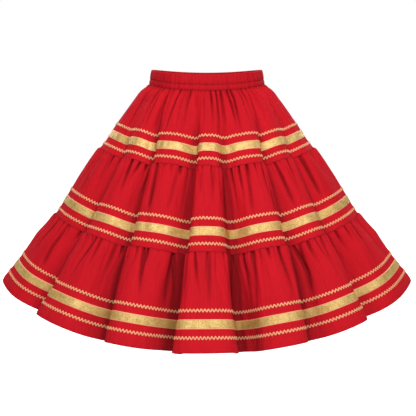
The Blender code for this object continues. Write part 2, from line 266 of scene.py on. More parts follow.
@dataclass
class SkirtForm:
    """The large shape of the cloth: rings of flutes round an oval, hung from the waistband.

    A ring of cloth is a wave of headings: where the heading turns inward and out again the cloth makes a
    flute. The height follows from cloth not stretching.
    """

    samples: int = 4800
    levels: int = 161
    blend: float = 0.009
    blend_points: int = 7
    lean_reach: float = 1.7
    least_fall: float = 0.35
    shelter_edge: float = 0.05
    shelter_sharpness: float = 3.5
    shelter_reach: float = 1.5

    def __post_init__(self) -> None:
        """Places the flutes round the strip, and works out every ring of cloth."""
        self.shares = np.linspace(0.0, 1.0, self.samples + 1)
        self.drops = np.linspace(0.0, HEM, self.levels)
        self.places: list[tuple[float, float, float]] = []
        taken = [self.take_up(flute) for flute in FLUTES]
        girth = self.girth(HEM, 0.0)
        cloth = girth + sum(taken)
        before = 0.0
        for flute, lost in zip(FLUTES, taken):
            along = girth * (flute.degrees + 180.0) / 360.0 + before + lost / 2.0
            drift = girth * flute.drift / 360.0
            self.places.append((along / cloth, drift / cloth, flute.spread / cloth))
            before += lost
        self.rings = [self.ring(drop) for drop in self.drops]

    def half_sizes(self, drop: float, blend: float) -> tuple[float, float]:
        """Half width and half depth of the ring of ridges.

        Args:
            drop: distance down the cloth.
            blend: half the length over which the outline's corners are rounded.

        Returns:
            The two half sizes in metres.
        """
        drops = [section.drop for section in SECTIONS]
        near = np.clip(drop + np.linspace(-blend, blend, self.blend_points), 0.0, HEM)
        width = np.interp(near, drops, [section.half_width for section in SECTIONS]).mean()
        depth = np.interp(near, drops, [section.half_depth for section in SECTIONS]).mean()
        return float(width), float(depth)

    def girth(self, drop: float, blend: float) -> float:
        """Length once round the ring of ridges at a drop."""
        width, depth = self.half_sizes(drop, blend)
        return math.pi * math.sqrt(2.0 * (width**2 + depth**2))

    @staticmethod
    def side_share(angle: np.ndarray, drop: float) -> np.ndarray:
        """The blunt points at the skirt's sides, and its narrower back.

        Args:
            angle: angles from the front, in radians.
            drop: distance down the cloth.

        Returns:
            What the oval's half width is multiplied by.
        """
        degrees = np.abs(np.degrees(angle))
        table = [side.degrees for side in SIDES], [side.share for side in SIDES]
        share = np.mean([np.interp(degrees + turn, *table) for turn in SIDE_ROUNDING], axis=0)
        return 1.0 + (share - 1.0) * min(drop / SEAM_1, 1.0)

    @staticmethod
    def bump(x: np.ndarray) -> np.ndarray:
        """Heading wave of one flute: inward before its floor, outward after it."""
        return x * np.exp(0.5 * (1.0 - x * x))

    @staticmethod
    def swing(flute: Flute, drop: float) -> float:
        """Largest heading of a flute at a drop, in radians."""
        swings = (flute.waist, flute.seam_1, flute.seam_2, flute.hem)
        return math.radians(float(np.interp(drop, (0.0, SEAM_1, SEAM_2, HEM), swings)))

    def take_up(self, flute: Flute) -> float:
        """Cloth that a flute takes out of the hem.

        Args:
            flute: the flute.

        Returns:
            A length in metres.
        """
        x = np.linspace(-5.0, 5.0, 401)
        lost = 1.0 - np.cos(self.swing(flute, HEM) * self.bump(x))
        return float(lost.sum() * (x[1] - x[0]) * flute.spread)

    def running_sum(self, values: np.ndarray) -> np.ndarray:
        """Integral of values over the shares, starting at zero."""
        steps = (values[1:] + values[:-1]) / 2.0 / self.samples
        return np.concatenate([[0.0], np.cumsum(steps)])

    def ring(self, drop: float) -> tuple[np.ndarray, np.ndarray]:
        """The ring of cloth at a drop.

        Args:
            drop: distance down the cloth.

        Returns:
            The angle round the skirt and the offset from the ring of ridges, for each sample.
        """
        heading = np.zeros_like(self.shares)
        lean = np.zeros_like(self.shares)
        centres = [centre + drift * (1.0 - drop / HEM) for centre, drift, _ in self.places]
        for flute, centre, (_, _, spread) in zip(FLUTES, centres, self.places):
            x = wrapped(self.shares - centre) / spread
            heading += self.swing(flute, drop) * self.bump(x)
            lean += flute.lean * np.exp(-0.5 * (x / self.lean_reach) ** 2)
        ahead = self.running_sum(np.cos(heading))
        aside = self.running_sum(np.sin(heading))
        girth = self.girth(drop, self.blend)
        offset = (aside - aside[-1] * self.shares) * girth / ahead[-1]
        ridges = [(a + b) / 2.0 for a, b in zip(centres, centres[1:])]
        offset -= np.interp(ridges, self.shares, offset).mean()
        turn = ahead / ahead[-1] + lean * offset / girth
        return (turn - 0.5) * 2.0 * math.pi, offset

    def surface(self, shares: np.ndarray) -> np.ndarray:
        """The cloth's middle surface.

        Args:
            shares: places of the columns round the strip.

        Returns:
            Points, levels by columns.
        """
        plans = []
        for drop, (angles, offsets) in zip(self.drops, self.rings):
            angle = np.interp(shares, self.shares, angles)
            offset = np.interp(shares, self.shares, offsets)
            width, depth = self.half_sizes(drop, self.blend)
            across = width * self.side_share(angle, drop) * np.sin(angle)
            ridge = np.stack([across, -depth * np.cos(angle)], axis=1)
            outward = unit(np.stack([depth * np.sin(angle), -width * np.cos(angle)], axis=1))
            plans.append(ridge + outward * offset[:, None])
        angle = np.arctan2(plans[0][:, 0] / BAND_FOOT[0], -plans[0][:, 1] / BAND_FOOT[1])
        height = -BAND_HEIGHT / 2.0 - waist_dip(angle)
        rows = [np.column_stack([plans[0], height])]
        step = self.drops[1] - self.drops[0]
        for plan, lower in zip(plans, plans[1:]):
            run = np.linalg.norm(lower - plan, axis=1)
            height = height - np.sqrt(np.maximum(step**2 - run**2, (self.least_fall * step) ** 2))
            rows.append(np.column_stack([lower, height]))
        return np.array(rows)

    def shelter(self, shares: np.ndarray, drop: float) -> np.ndarray:
        """How far places lie under a ridge that leans over them, which deepens the painted shade in folds.

        Args:
            shares: places of the columns round the strip.
            drop: distance down the cloth.

        Returns:
            Above 0 beneath the ridge, below 0 on a fold's open side.
        """
        cover = np.zeros(len(shares))
        for flute, (centre, drift, spread) in zip(FLUTES, self.places):
            x = wrapped(shares - centre - drift * (1.0 - drop / HEM)) / spread
            side = math.copysign(1.0, flute.lean)
            edge = flute.lean + self.shelter_edge * side
            near = np.exp(-0.5 * (x / self.shelter_reach) ** 2)
            cover -= side * np.tanh(self.shelter_sharpness * (x - edge)) * near
        return cover

    def share_of(self, degrees: float, drop: float) -> float:
        """The share that lies at an angle from the front, at a drop."""
        angles = self.ring(drop)[0]
        return float(np.interp(math.radians(degrees), angles, self.shares))


# How much the grooves' distances and depths vary, and how suddenly they end
GROOVE_SPACING = 0.55
GROOVE_DEPTHS = (0.55, 0.9)
GROOVE_FADE = 1.6


@dataclass(frozen=True)
class Gathers:
    """A row of gathers below a seam: narrow grooves between round tubes, which die away down the cloth.

    Attributes:
        count: grooves once round.
        depth: a groove's usual depth in metres.
        groove: a groove's half width, as a share of the distance between two.
        shortest: the shortest groove's length in metres.
        longest: the longest groove's length in metres.
        wander: how far a groove drifts aside in 10 mm, as a share of the distance between two.
        widen: how much wider a groove grows, per metre.
        seed: where the random draws start.
    """

    count: int
    depth: float
    groove: float
    shortest: float
    longest: float
    wander: float
    widen: float
    seed: int

    def heights(self, shares: np.ndarray, drops: np.ndarray) -> np.ndarray:
        """How far the cloth stands out.

        Args:
            shares: places of the columns.
            drops: distances below the seam.

        Returns:
            Heights in metres, rows by columns.
        """
        rng = np.random.default_rng(self.seed)
        steps = 1.0 + GROOVE_SPACING * (rng.random(self.count) - 0.5)
        centres = np.cumsum(steps) / steps.sum()
        least, spread = GROOVE_DEPTHS
        depths = self.depth * (least + spread * rng.random(self.count))
        lengths = self.shortest + (self.longest - self.shortest) * rng.random(self.count) ** 2
        drifts = self.wander * (rng.random(self.count) - 0.5)
        down = np.maximum(drops, 0.0)[:, None]
        heights = np.zeros((len(drops), len(shares)))
        pitch = 1.0 / self.count
        width = self.groove * pitch * (1.0 + self.widen * down)
        for centre, depth, length, drift in zip(centres, depths, lengths, drifts):
            middle = centre + drift * pitch * down / 0.01
            reach = 3.0 * float(width.max()) + abs(float((middle - centre).max() or 0.0)) + pitch
            near = np.abs(wrapped(shares - centre)) < min(reach, 0.49)
            across = wrapped(shares[near][None, :] - middle) / width
            fade = np.exp(-((down / length) ** GROOVE_FADE))
            heights[:, near] -= depth * fade * np.exp(-across * across)
        return heights


@dataclass(frozen=True)
class Tier:
    """One gathered strip of cloth and the trims sewn to it."""

    name: str
    top: float
    length: float
    cut_length: float
    columns: int
    rows: int
    clearance: float
    gathers: tuple[Gathers, ...]
    creases: tuple[Crease, ...]
    puff: float
    # How strongly the flutes' depth darkens this tier's colour, as painted shade.
    shadow: float

    @property
    def hemmed(self) -> bool:
        """Whether the strip's lower edge is the skirt's hem."""
        return self.name == "lower"

    @property
    def foot_braid(self) -> float:
        """Drop of the lower zigzag braid, below the tier's top."""
        return self.length - self.clearance

    @property
    def ribbon(self) -> float:
        """Drop of the ribbon's middle, below the tier's top."""
        return self.foot_braid - TRIM_SPACING

    @property
    def head_braid(self) -> float:
        """Drop of the upper zigzag braid, below the tier's top."""
        return self.foot_braid - 2.0 * TRIM_SPACING


TIERS = (
    Tier(
        name="upper", top=0.0, length=TIER_LENGTHS[0], cut_length=1.44, columns=1100, rows=52,
        clearance=SEAM_CLEARANCE, puff=0.0012, shadow=0.60, creases=UPPER_CREASES,
        gathers=(
            Gathers(94, 0.0026, 0.20, 0.012, 0.045, 0.15, 3.0, 11),
            Gathers(64, 0.0056, 0.13, 0.075, 0.160, 0.06, 1.5, 12),
        ),
    ),
    Tier(
        name="middle", top=SEAM_1, length=TIER_LENGTHS[1], cut_length=2.16, columns=1500, rows=50,
        clearance=SEAM_CLEARANCE, puff=0.0016, shadow=0.62, creases=MIDDLE_CREASES,
        gathers=(
            Gathers(190, 0.0024, 0.20, 0.006, 0.020, 0.20, 10.0, 21),
            Gathers(104, 0.0064, 0.13, 0.016, 0.060, 0.10, 4.0, 22),
            Gathers(38, 0.0054, 0.080, 0.060, 0.170, 0.05, 2.0, 23),
        ),
    ),
    Tier(
        name="lower", top=SEAM_2, length=TIER_LENGTHS[2], cut_length=3.65, columns=1640, rows=48,
        clearance=HEM_CLEARANCE, puff=0.0020, shadow=0.82, creases=LOWER_CREASES,
        gathers=(
            Gathers(220, 0.0026, 0.19, 0.006, 0.022, 0.20, 10.0, 31),
            Gathers(120, 0.0070, 0.12, 0.018, 0.070, 0.10, 4.0, 32),
            Gathers(44, 0.0058, 0.075, 0.070, 0.190, 0.05, 2.0, 33),
        ),
    ),
)


@dataclass(frozen=True)
class FoldShade:
    """How the painted shade in folds is worked out from their shape: it darkens the colour where flutes,
    gathers and seams would lie in shade.

    Attributes:
        waist_depth: depth in metres of a flute that counts as closed at the waist.
        deeper: how much that depth grows per metre down the cloth.
        onset: share of that depth where the painted shade begins.
        sheltered: how much painted shade a leaning ridge adds beneath it.
        gather_depth: depth in metres of a gather that counts as closed.
        gather_onset: share of that depth where its painted shade begins.
        gather_share: the painted shade in a closed gather.
        seam_share: the painted shade right under a seam.
    """

    waist_depth: float = 0.014
    deeper: float = 0.060
    onset: float = 0.32
    sheltered: float = 0.9
    gather_depth: float = 0.0044
    gather_onset: float = 0.10
    gather_share: float = 0.75
    seam_share: float = 0.6


@dataclass
class TierCloth:
    """The fine surface of one tier: the large form with gathers, creases and its puff on it."""

    form: SkirtForm
    tier: Tier
    shade: FoldShade = FoldShade()
    seam_reach: float = 0.0022
    seam_hold: float = 0.65
    puff_drop: float = 0.018
    crease_start: tuple[float, float] = (-0.004, 0.010)
    crease_fade: float = 2.2
    seam_calm: float = 0.014
    trim_calm: float = 0.6
    trim_calm_drop: float = 0.030

    def __post_init__(self) -> None:
        """Works out the large form at this tier's columns."""
        self.shares = np.arange(self.tier.columns) / self.tier.columns
        self.plain = self.form.surface(self.shares)
        rings = self.form.rings
        self.offsets = np.array([np.interp(self.shares, self.form.shares, offset) for _, offset in rings])
        self.crease_shares = [
            self.form.share_of(crease.degrees, self.tier.top) for crease in self.tier.creases
        ]

    def rows_of(self, levels: np.ndarray, drops: np.ndarray) -> np.ndarray:
        """Rows between the form's levels.

        Args:
            levels: values at the form's levels.
            drops: distances below the tier's top.

        Returns:
            One row for each drop.
        """
        places = np.clip(self.tier.top + drops, 0.0, HEM) / HEM * (self.form.levels - 1)
        lower = np.minimum(places.astype(int), self.form.levels - 2)
        part = (places - lower).reshape((-1,) + (1,) * (levels.ndim - 1))
        return levels[lower] * (1.0 - part) + levels[lower + 1] * part

    def plain_rows(self, drops: np.ndarray) -> np.ndarray:
        """Rows of the large form at drops below the tier's top."""
        return self.rows_of(self.plain, drops)

    def painted_shade(self, drops: np.ndarray) -> np.ndarray:
        """Painted shade for the cloth's colour, from 0 in the open to 1 in a closed fold: darker in deep
        flutes, under leaning ridges, in gathers and right under the seam.

        Args:
            drops: distances below the tier's top.

        Returns:
            Shares of painted shade from 0 to 1, rows by columns.
        """
        shade = self.shade
        from_waist = self.tier.top + drops
        closed = shade.waist_depth + shade.deeper * from_waist
        flute = smooth_step(-self.rows_of(self.offsets, drops) / closed[:, None], shade.onset, 1.0)
        shelter = np.array([self.form.shelter(self.shares, drop) for drop in from_waist])
        flute = np.clip(flute * (1.0 + shade.sheltered * shelter), 0.0, 1.0)
        gather = smooth_step(-self.gather_heights(drops) / shade.gather_depth, shade.gather_onset, 1.0)
        seam = np.exp(-np.maximum(drops, 0.0) / self.seam_reach)[:, None]
        # Painted shade: flutes, gathers and the seam darken the colour where they would lie in shade.
        light = (1.0 - self.tier.shadow * flute) * (1.0 - shade.gather_share * gather)
        return 1.0 - light * (1.0 - shade.seam_share * seam)

    def gather_heights(self, drops: np.ndarray) -> np.ndarray:
        """How far the gathers alone stand out, calmer under the trims.

        Args:
            drops: distances below the tier's top.

        Returns:
            Heights in metres, rows by columns.
        """
        head = self.tier.head_braid
        heights = sum(gathers.heights(self.shares, drops) for gathers in self.tier.gathers)
        heights -= heights.mean(axis=1, keepdims=True)
        calm = 1.0 - self.trim_calm * smooth_step(drops, head - self.trim_calm_drop, head)
        return heights * calm[:, None]

    def folds(self, drops: np.ndarray) -> np.ndarray:
        """How far gathers and creases stand out of the large form.

        Args:
            drops: distances below the tier's top.

        Returns:
            Heights in metres, rows by columns.
        """
        tier = self.tier
        down = np.maximum(drops, 0.0)
        heights = self.gather_heights(drops)
        girth = self.form.girth(tier.top + tier.length / 2.0, 0.0)
        for crease, centre in zip(tier.creases, self.crease_shares):
            width = crease.width / 1000.0 / girth
            middle = centre + crease.drift * down / girth
            across = wrapped(self.shares[None, :] - middle[:, None]) / width
            start, full = (crease.top / 1000.0 + place for place in self.crease_start)
            fade = np.exp(-((down * 1000.0 / crease.length) ** self.crease_fade))
            along = smooth_step(down, start, full) * fade
            heights += crease.height / 1000.0 * along[:, None] * np.exp(-across * across)
        last = 1.0 - smooth_step(down, tier.length - self.seam_calm, tier.length) * (not tier.hemmed)
        held = 1.0 - self.seam_hold + self.seam_hold * (1.0 - np.exp(-down / self.seam_reach))
        return heights * (last * held)[:, None]

    def relief(self, drops: np.ndarray) -> np.ndarray:
        """How far the cloth stands out of its large form: its folds, and its puff below the seam."""
        down = np.maximum(drops, 0.0) / self.puff_drop
        return self.folds(drops) + (self.tier.puff * down * np.exp(1.0 - down))[:, None]

    @staticmethod
    def normals(grid: np.ndarray) -> np.ndarray:
        """Outward unit normals of a ring-shaped grid, rows by columns."""
        round_it = np.roll(grid, -1, axis=1) - np.roll(grid, 1, axis=1)
        return unit(np.cross(np.gradient(grid, axis=0), round_it))

    def grid(self, drops: np.ndarray) -> np.ndarray:
        """Points of the cloth at drops below the tier's top, rows by columns."""
        plain = self.plain_rows(drops)
        return plain + self.normals(plain) * self.relief(drops)[:, :, None]

    def strip(self, middle: float, lifts: Sequence[tuple[float, float]]) -> np.ndarray:
        """Points of a strip that lies on the cloth.

        Args:
            middle: drop of the strip's middle, below the tier's top.
            lifts: pairs of a distance down from the middle and a distance outside the cloth.

        Returns:
            Points, one row for each pair, by columns.
        """
        drops = middle + np.array([down for down, _ in lifts])
        order = np.unique(drops)
        fine = self.grid(order)
        normals = self.normals(fine)
        rows = [np.searchsorted(order, drop) for drop in drops]
        return np.array([fine[row] + normals[row] * lift for row, (_, lift) in zip(rows, lifts)])

    def path(self, drop: float) -> "ClothPath":
        """A line round the cloth.

        Args:
            drop: distance below the tier's top.

        Returns:
            The line.
        """
        near = self.grid(drop + np.array([-0.0015, 0.0, 0.0015]))
        depth = self.painted_shade(np.array([drop]))[0]
        return ClothPath(near[1], self.normals(near)[1], unit(near[2] - near[0]), depth)


@dataclass(frozen=True)
class ClothPath:
    """A closed line on the cloth, with its outward and downward directions and the painted shade of the
    cloth under it.
    """

    points: np.ndarray
    outward: np.ndarray
    downward: np.ndarray
    depth: np.ndarray

    def mesh_object(self, name: str) -> bpy.types.Object:
        """The line as a loop of edges with its directions and its painted shade stored on its points.

        Args:
            name: the object's name.

        Returns:
            The new object.
        """
        count = len(self.points)
        mesh = bpy.data.meshes.new(name)
        edges = [(index, (index + 1) % count) for index in range(count)]
        mesh.from_pydata(self.points.tolist(), edges, [])
        for key, vectors in (("outward", self.outward), ("downward", self.downward)):
            layer = mesh.attributes.new(key, "FLOAT_VECTOR", "POINT")
            layer.data.foreach_set("vector", vectors.astype(np.float32).ravel())
        folds = mesh.attributes.new("fold", "FLOAT", "POINT")
        folds.data.foreach_set("value", self.depth.astype(np.float32))
        return linked_object(name, mesh)


def linked_object(name: str, data: bpy.types.ID) -> bpy.types.Object:
    """A new object in the scene.

    Args:
        name: the object's name.
        data: its mesh, lamp or camera.

    Returns:
        The new object.
    """
    obj = bpy.data.objects.new(name, data)
    bpy.context.scene.collection.objects.link(obj)
    return obj


Socket = bpy.types.NodeSocket
Value = Socket | float | str | tuple[float, ...]


class NodeTree:
    """A short way to write a node tree: each call adds a node and links its inputs."""

    def __init__(self, tree: bpy.types.NodeTree) -> None:
        """Keeps the tree that is written."""
        self.tree = tree

    def feed(self, socket: Socket, value: Value) -> None:
        """Links a socket to the one that is given, or sets its own value.

        Args:
            socket: the input.
            value: a socket to link, or the input's own value.
        """
        if isinstance(value, Socket):
            self.tree.links.new(value, socket)
        else:
            socket.default_value = value

    def add(self, kind: str, inputs: dict | None = None, **settings) -> bpy.types.Node:
        """Adds a node.

        Args:
            kind: the node's type name.
            inputs: values or sockets by input name or index.
            settings: the node's own properties.

        Returns:
            The new node.
        """
        node = self.tree.nodes.new(kind)
        for key, value in settings.items():
            setattr(node, key, value)
        for key, value in (inputs or {}).items():
            self.feed(node.inputs[key], value)
        return node

    def first(self, kind: str, inputs: dict | None = None, **settings) -> Socket:
        """Adds a node and gives its first output."""
        return self.add(kind, inputs, **settings).outputs[0]

    def math(self, operation: str, *values: Value) -> Socket:
        """A Math node's result."""
        return self.first("ShaderNodeMath", dict(enumerate(values)), operation=operation)

    def vector(self, operation: str, *values: Value) -> Socket:
        """A Vector Math node's vector result."""
        return self.first("ShaderNodeVectorMath", dict(enumerate(values)), operation=operation)

    def scaled(self, vector: Socket, factor: Value) -> Socket:
        """A vector times a number."""
        return self.first("ShaderNodeVectorMath", {"Vector": vector, "Scale": factor}, operation="SCALE")

    def parts(self, vector: Socket) -> bpy.types.bpy_prop_collection:
        """A vector's three numbers."""
        return self.add("ShaderNodeSeparateXYZ", {0: vector}).outputs

    def joined(self, x: Value = 0.0, y: Value = 0.0, z: Value = 0.0) -> Socket:
        """A vector of three numbers."""
        return self.first("ShaderNodeCombineXYZ", {0: x, 1: y, 2: z})

    def ranged(
        self, value: Socket, low: float, high: float, start: float = 0.0, end: float = 1.0
    ) -> Socket:
        """A number from start to end, as its value goes from low to high."""
        inputs = {"Value": value, "From Min": low, "From Max": high, "To Min": start, "To Max": end}
        return self.first("ShaderNodeMapRange", inputs)

    def blend(self, factor: Value, first: Value, second: Value) -> Socket:
        """A colour between two colours.

        Args:
            factor: 0 for the first colour, 1 for the second.
            first: a socket or three numbers.
            second: a socket or three numbers.

        Returns:
            The blended colour.
        """
        colours = [(*one, 1.0) if isinstance(one, tuple) else one for one in (first, second)]
        inputs = {"Factor": factor, 6: colours[0], 7: colours[1]}
        return self.add("ShaderNodeMix", inputs, data_type="RGBA").outputs[2]

    def stored(self, geometry: Socket, name: str, value: Value) -> Socket:
        """Geometry with a number stored on its points."""
        inputs = {"Geometry": geometry, "Name": name, "Value": value}
        return self.first("GeometryNodeStoreNamedAttribute", inputs, data_type="FLOAT", domain="POINT")


class PathTrees:
    """The geometry node trees that lay repeated things along a line on the cloth."""

    wave_points: float = 8.0
    wave_sharpness: float = 0.96
    merge_distance: float = 0.00002

    def __init__(self) -> None:
        """Builds the trees."""
        self.wrap = self.make_wrap()
        self.braid = self.make_braid()
        self.stitches = self.make_stitches()

    @staticmethod
    def new_tree(name: str, inputs: Sequence[tuple[str, str, float | None]]) -> NodeTree:
        """A geometry node tree with a geometry output.

        Args:
            name: the tree's name.
            inputs: name, socket type and default value of each input.

        Returns:
            The tree's writer.
        """
        tree = bpy.data.node_groups.new(name, "GeometryNodeTree")
        add_inputs(tree, inputs)
        tree.interface.new_socket(name="Geometry", in_out="OUTPUT", socket_type="NodeSocketGeometry")
        return NodeTree(tree)

    def make_wrap(self) -> bpy.types.NodeTree:
        """Bends a flat strip along a path: its X runs along, its Y down and its Z out of the cloth.

        Returns:
            The finished tree.
        """
        nodes = self.new_tree("follow the cloth", [
            ("Path", "NodeSocketGeometry", None),
            ("Strip", "NodeSocketGeometry", None),
            ("Lift", "NodeSocketFloat", 0.0),
        ])
        start = nodes.add("NodeGroupInput").outputs
        place = nodes.parts(nodes.first("GeometryNodeInputPosition"))
        sampled = []
        for key, kind in (("outward", "FLOAT_VECTOR"), ("downward", "FLOAT_VECTOR"), ("fold", "FLOAT")):
            value = nodes.first("GeometryNodeInputNamedAttribute", {"Name": key}, data_type=kind)
            inputs = {"Curves": start["Path"], "Value": value, "Length": place[0]}
            settings = {"mode": "LENGTH", "data_type": kind, "use_all_curves": True}
            sampled.append(nodes.add("GeometryNodeSampleCurve", inputs, **settings).outputs)
        outward, downward, depth = (outputs["Value"] for outputs in sampled)
        height = nodes.math("ADD", place[2], start["Lift"])
        moved = nodes.vector("ADD", nodes.scaled(outward, height), nodes.scaled(downward, place[1]))
        position = nodes.vector("ADD", sampled[0]["Position"], moved)
        # The strip takes the cloth's painted shade, stored as its fold attribute.
        marked = nodes.stored(start["Strip"], "fold", depth)
        bent = nodes.first("GeometryNodeSetPosition", {"Geometry": marked, "Position": position})
        nodes.add("NodeGroupOutput", {0: bent})
        return nodes.tree

    def finish(
        self, nodes: NodeTree, path: Socket, strip: Socket, start: bpy.types.bpy_prop_collection
    ) -> bpy.types.NodeTree:
        """Ends a tree: the strip is bent along the path, instances are realised and the finish is set.

        Args:
            nodes: the tree's writer.
            path: the line on the cloth, as a curve.
            strip: the flat strip.
            start: the tree's own inputs.

        Returns:
            The finished tree.
        """
        inputs = {"Path": path, "Strip": strip, "Lift": start["Lift"]}
        bent = nodes.first("GeometryNodeGroup", inputs, node_tree=self.wrap)
        real = nodes.first("GeometryNodeRealizeInstances", {0: bent})
        inputs = {"Geometry": real, "Distance": self.merge_distance}
        merged = nodes.first("GeometryNodeMergeByDistance", inputs)
        inputs = {"Geometry": merged, "Material": start["Material"]}
        nodes.add("NodeGroupOutput", {0: nodes.first("GeometryNodeSetMaterial", inputs)})
        return nodes.tree

    def make_braid(self) -> bpy.types.NodeTree:
        """A zigzag braid: a flat wave, thickened, then bent along its line on the cloth.

        Returns:
            The finished tree.
        """
        nodes = self.new_tree("zigzag braid", [
            ("Path", "NodeSocketGeometry", None),
            ("Wave Length", "NodeSocketFloat", 0.0062),
            ("Wave Height", "NodeSocketFloat", 0.003),
            ("Braid Width", "NodeSocketFloat", 0.002),
            ("Braid Thickness", "NodeSocketFloat", 0.001),
            ("Lift", "NodeSocketFloat", 0.0005),
            ("Material", "NodeSocketMaterial", None),
        ])
        start = nodes.add("NodeGroupInput").outputs
        path = nodes.first("GeometryNodeMeshToCurve", {"Mesh": start["Path"]})
        length = nodes.first("GeometryNodeCurveLength", {0: path})
        waves = nodes.math("ROUND", nodes.math("DIVIDE", length, start["Wave Length"]))
        wave = nodes.math("DIVIDE", length, waves)
        line = nodes.first("GeometryNodeCurvePrimitiveLine", {"End": nodes.joined(length)})
        count = nodes.math("ADD", nodes.math("MULTIPLY", waves, self.wave_points), 1.0)
        line = nodes.first("GeometryNodeResampleCurve", {"Curve": line, "Count": count}, mode="COUNT")
        along = nodes.parts(nodes.first("GeometryNodeInputPosition"))[0]
        turn = nodes.math("MULTIPLY", nodes.math("DIVIDE", along, wave), 2.0 * math.pi)
        tips = nodes.math("MULTIPLY", nodes.math("COSINE", turn), self.wave_sharpness)
        zigzag = nodes.math("DIVIDE", nodes.math("ARCSINE", tips), math.asin(self.wave_sharpness))
        swing = nodes.math("MULTIPLY", nodes.math("MULTIPLY", zigzag, start["Wave Height"]), 0.5)
        line = nodes.first("GeometryNodeSetPosition", {"Geometry": line, "Offset": nodes.joined(y=swing)})
        line = nodes.first("GeometryNodeSetCurveNormal", {"Curve": line}, mode="Z_UP")
        line = nodes.stored(line, "travelled", nodes.add("GeometryNodeSplineParameter").outputs["Length"])
        profile = nodes.first("GeometryNodeCurvePrimitiveCircle", {"Resolution": 6, "Radius": 0.5})
        size = nodes.joined(start["Braid Width"], start["Braid Thickness"], 1.0)
        profile = nodes.first("GeometryNodeTransform", {"Geometry": profile, "Scale": size})
        profile = nodes.stored(profile, "around", nodes.first("GeometryNodeSplineParameter"))
        strip = nodes.first("GeometryNodeCurveToMesh", {"Curve": line, "Profile Curve": profile})
        return self.finish(nodes, path, strip, start)

    def make_stitches(self) -> bpy.types.NodeTree:
        """A row of short stitches bent along its line on the cloth.

        Returns:
            The finished tree.
        """
        nodes = self.new_tree("row of stitches", [
            ("Path", "NodeSocketGeometry", None),
            ("Pitch", "NodeSocketFloat", 0.003),
            ("Stitch", "NodeSocketFloat", 0.0022),
            ("Thread", "NodeSocketFloat", 0.0005),
            ("Lift", "NodeSocketFloat", 0.0),
            ("Material", "NodeSocketMaterial", None),
        ])
        start = nodes.add("NodeGroupInput").outputs
        path = nodes.first("GeometryNodeMeshToCurve", {"Mesh": start["Path"]})
        length = nodes.first("GeometryNodeCurveLength", {0: path})
        count = nodes.math("ROUND", nodes.math("DIVIDE", length, start["Pitch"]))
        pitch = nodes.joined(nodes.math("DIVIDE", length, count))
        inputs = {"Count": count, "Start Location": nodes.scaled(pitch, 0.5), "Offset": pitch}
        line = nodes.first("GeometryNodeMeshLine", inputs, mode="OFFSET")
        bead = nodes.first("GeometryNodeMeshIcoSphere", {"Radius": 0.5, "Subdivisions": 1})
        size = nodes.joined(start["Stitch"], start["Thread"], start["Thread"])
        bead = nodes.first("GeometryNodeTransform", {"Geometry": bead, "Scale": size})
        row = nodes.first("GeometryNodeInstanceOnPoints", {"Points": line, "Instance": bead})
        row = nodes.first("GeometryNodeRealizeInstances", {0: row})
        return self.finish(nodes, path, row, start)

    @staticmethod
    def grow(tree: bpy.types.NodeTree, path: ClothPath, name: str, values: dict) -> bpy.types.Object:
        """Runs a tree on a path and keeps the result as a plain mesh.

        Args:
            tree: the geometry node tree.
            path: the line on the cloth.
            name: the piece's name.
            values: values by input name.

        Returns:
            The new piece.
        """
        obj = path.mesh_object(name + "_path")
        modifier = obj.modifiers.new("grow", "NODES")
        modifier.node_group = tree
        items = [item for item in tree.interface.items_tree if item.in_out == "INPUT"]
        sockets = {item.name: item.identifier for item in items}
        for key, value in values.items():
            modifier[sockets[key]] = value
        graph = bpy.context.evaluated_depsgraph_get()
        mesh = bpy.data.meshes.new_from_object(obj.evaluated_get(graph))
        obj.modifiers.remove(modifier)
        mesh.name = name
        piece = linked_object(name, mesh)
        bpy.data.objects.remove(obj, do_unlink=True)
        mesh.shade_smooth()
        return piece


@dataclass(frozen=True)
class Stitching:
    """A row of stitches: how far apart, how long and thick they are, and their height on the cloth."""

    pitch: float
    stitch: float
    thread: float
    lift: float

    def sew(
        self, trees: PathTrees, path: ClothPath, name: str, thread: bpy.types.Material
    ) -> bpy.types.Object:
        """Makes the row along a line on the cloth.

        Args:
            trees: the geometry node trees.
            path: the line on the cloth.
            name: the piece's name.
            thread: the thread's finish.

        Returns:
            The new piece.
        """
        values = {"Pitch": self.pitch, "Stitch": self.stitch, "Thread": self.thread, "Lift": self.lift}
        return trees.grow(trees.stitches, path, name, {**values, "Material": thread})


def mesh_piece(
    name: str,
    loops: np.ndarray,
    size: tuple[float, np.ndarray],
    depth: np.ndarray,
    material: bpy.types.Material,
) -> bpy.types.Object:
    """A ring-shaped strip through rows of points.

    Args:
        name: the piece's name.
        loops: points, rows by columns.
        size: the strip's length, and each row's distance across it, in metres.
        depth: painted shade at each point, from 0 on open cloth to 1 deep in a fold, rows by columns.
        material: the piece's finish.

    Returns:
        The new object, with a UV map in metres and its painted shade stored as the fold attribute.
    """
    rows, columns = loops.shape[:2]
    bands = rows - 1
    here = np.arange(bands)[:, None] * columns + np.arange(columns)[None, :]
    beside = np.arange(bands)[:, None] * columns + (np.arange(columns)[None, :] + 1) % columns
    faces = np.stack([here, here + columns, beside + columns, beside], axis=2).reshape(-1, 4)
    mesh = bpy.data.meshes.new(name)
    mesh.from_pydata(loops.reshape(-1, 3).tolist(), [], faces.tolist())
    along = np.tile(np.arange(columns) / columns, (bands, 1))
    down = np.tile(np.arange(bands)[:, None], (1, columns))
    long, across = size
    corners = [
        np.stack([(along + aside / columns) * long, across[down + below]], axis=2)
        for aside, below in ((0, 0), (0, 1), (1, 1), (1, 0))
    ]
    layer = mesh.uv_layers.new(name="cloth")
    layer.data.foreach_set("uv", np.stack(corners, axis=2).astype(np.float32).ravel())
    # Painted shade for the finishes, stored as the fold attribute.
    folds = mesh.attributes.new("fold", "FLOAT", "POINT")
    folds.data.foreach_set("value", depth.astype(np.float32).ravel())
    mesh.materials.append(material)
    mesh.shade_smooth()
    return linked_object(name, mesh)


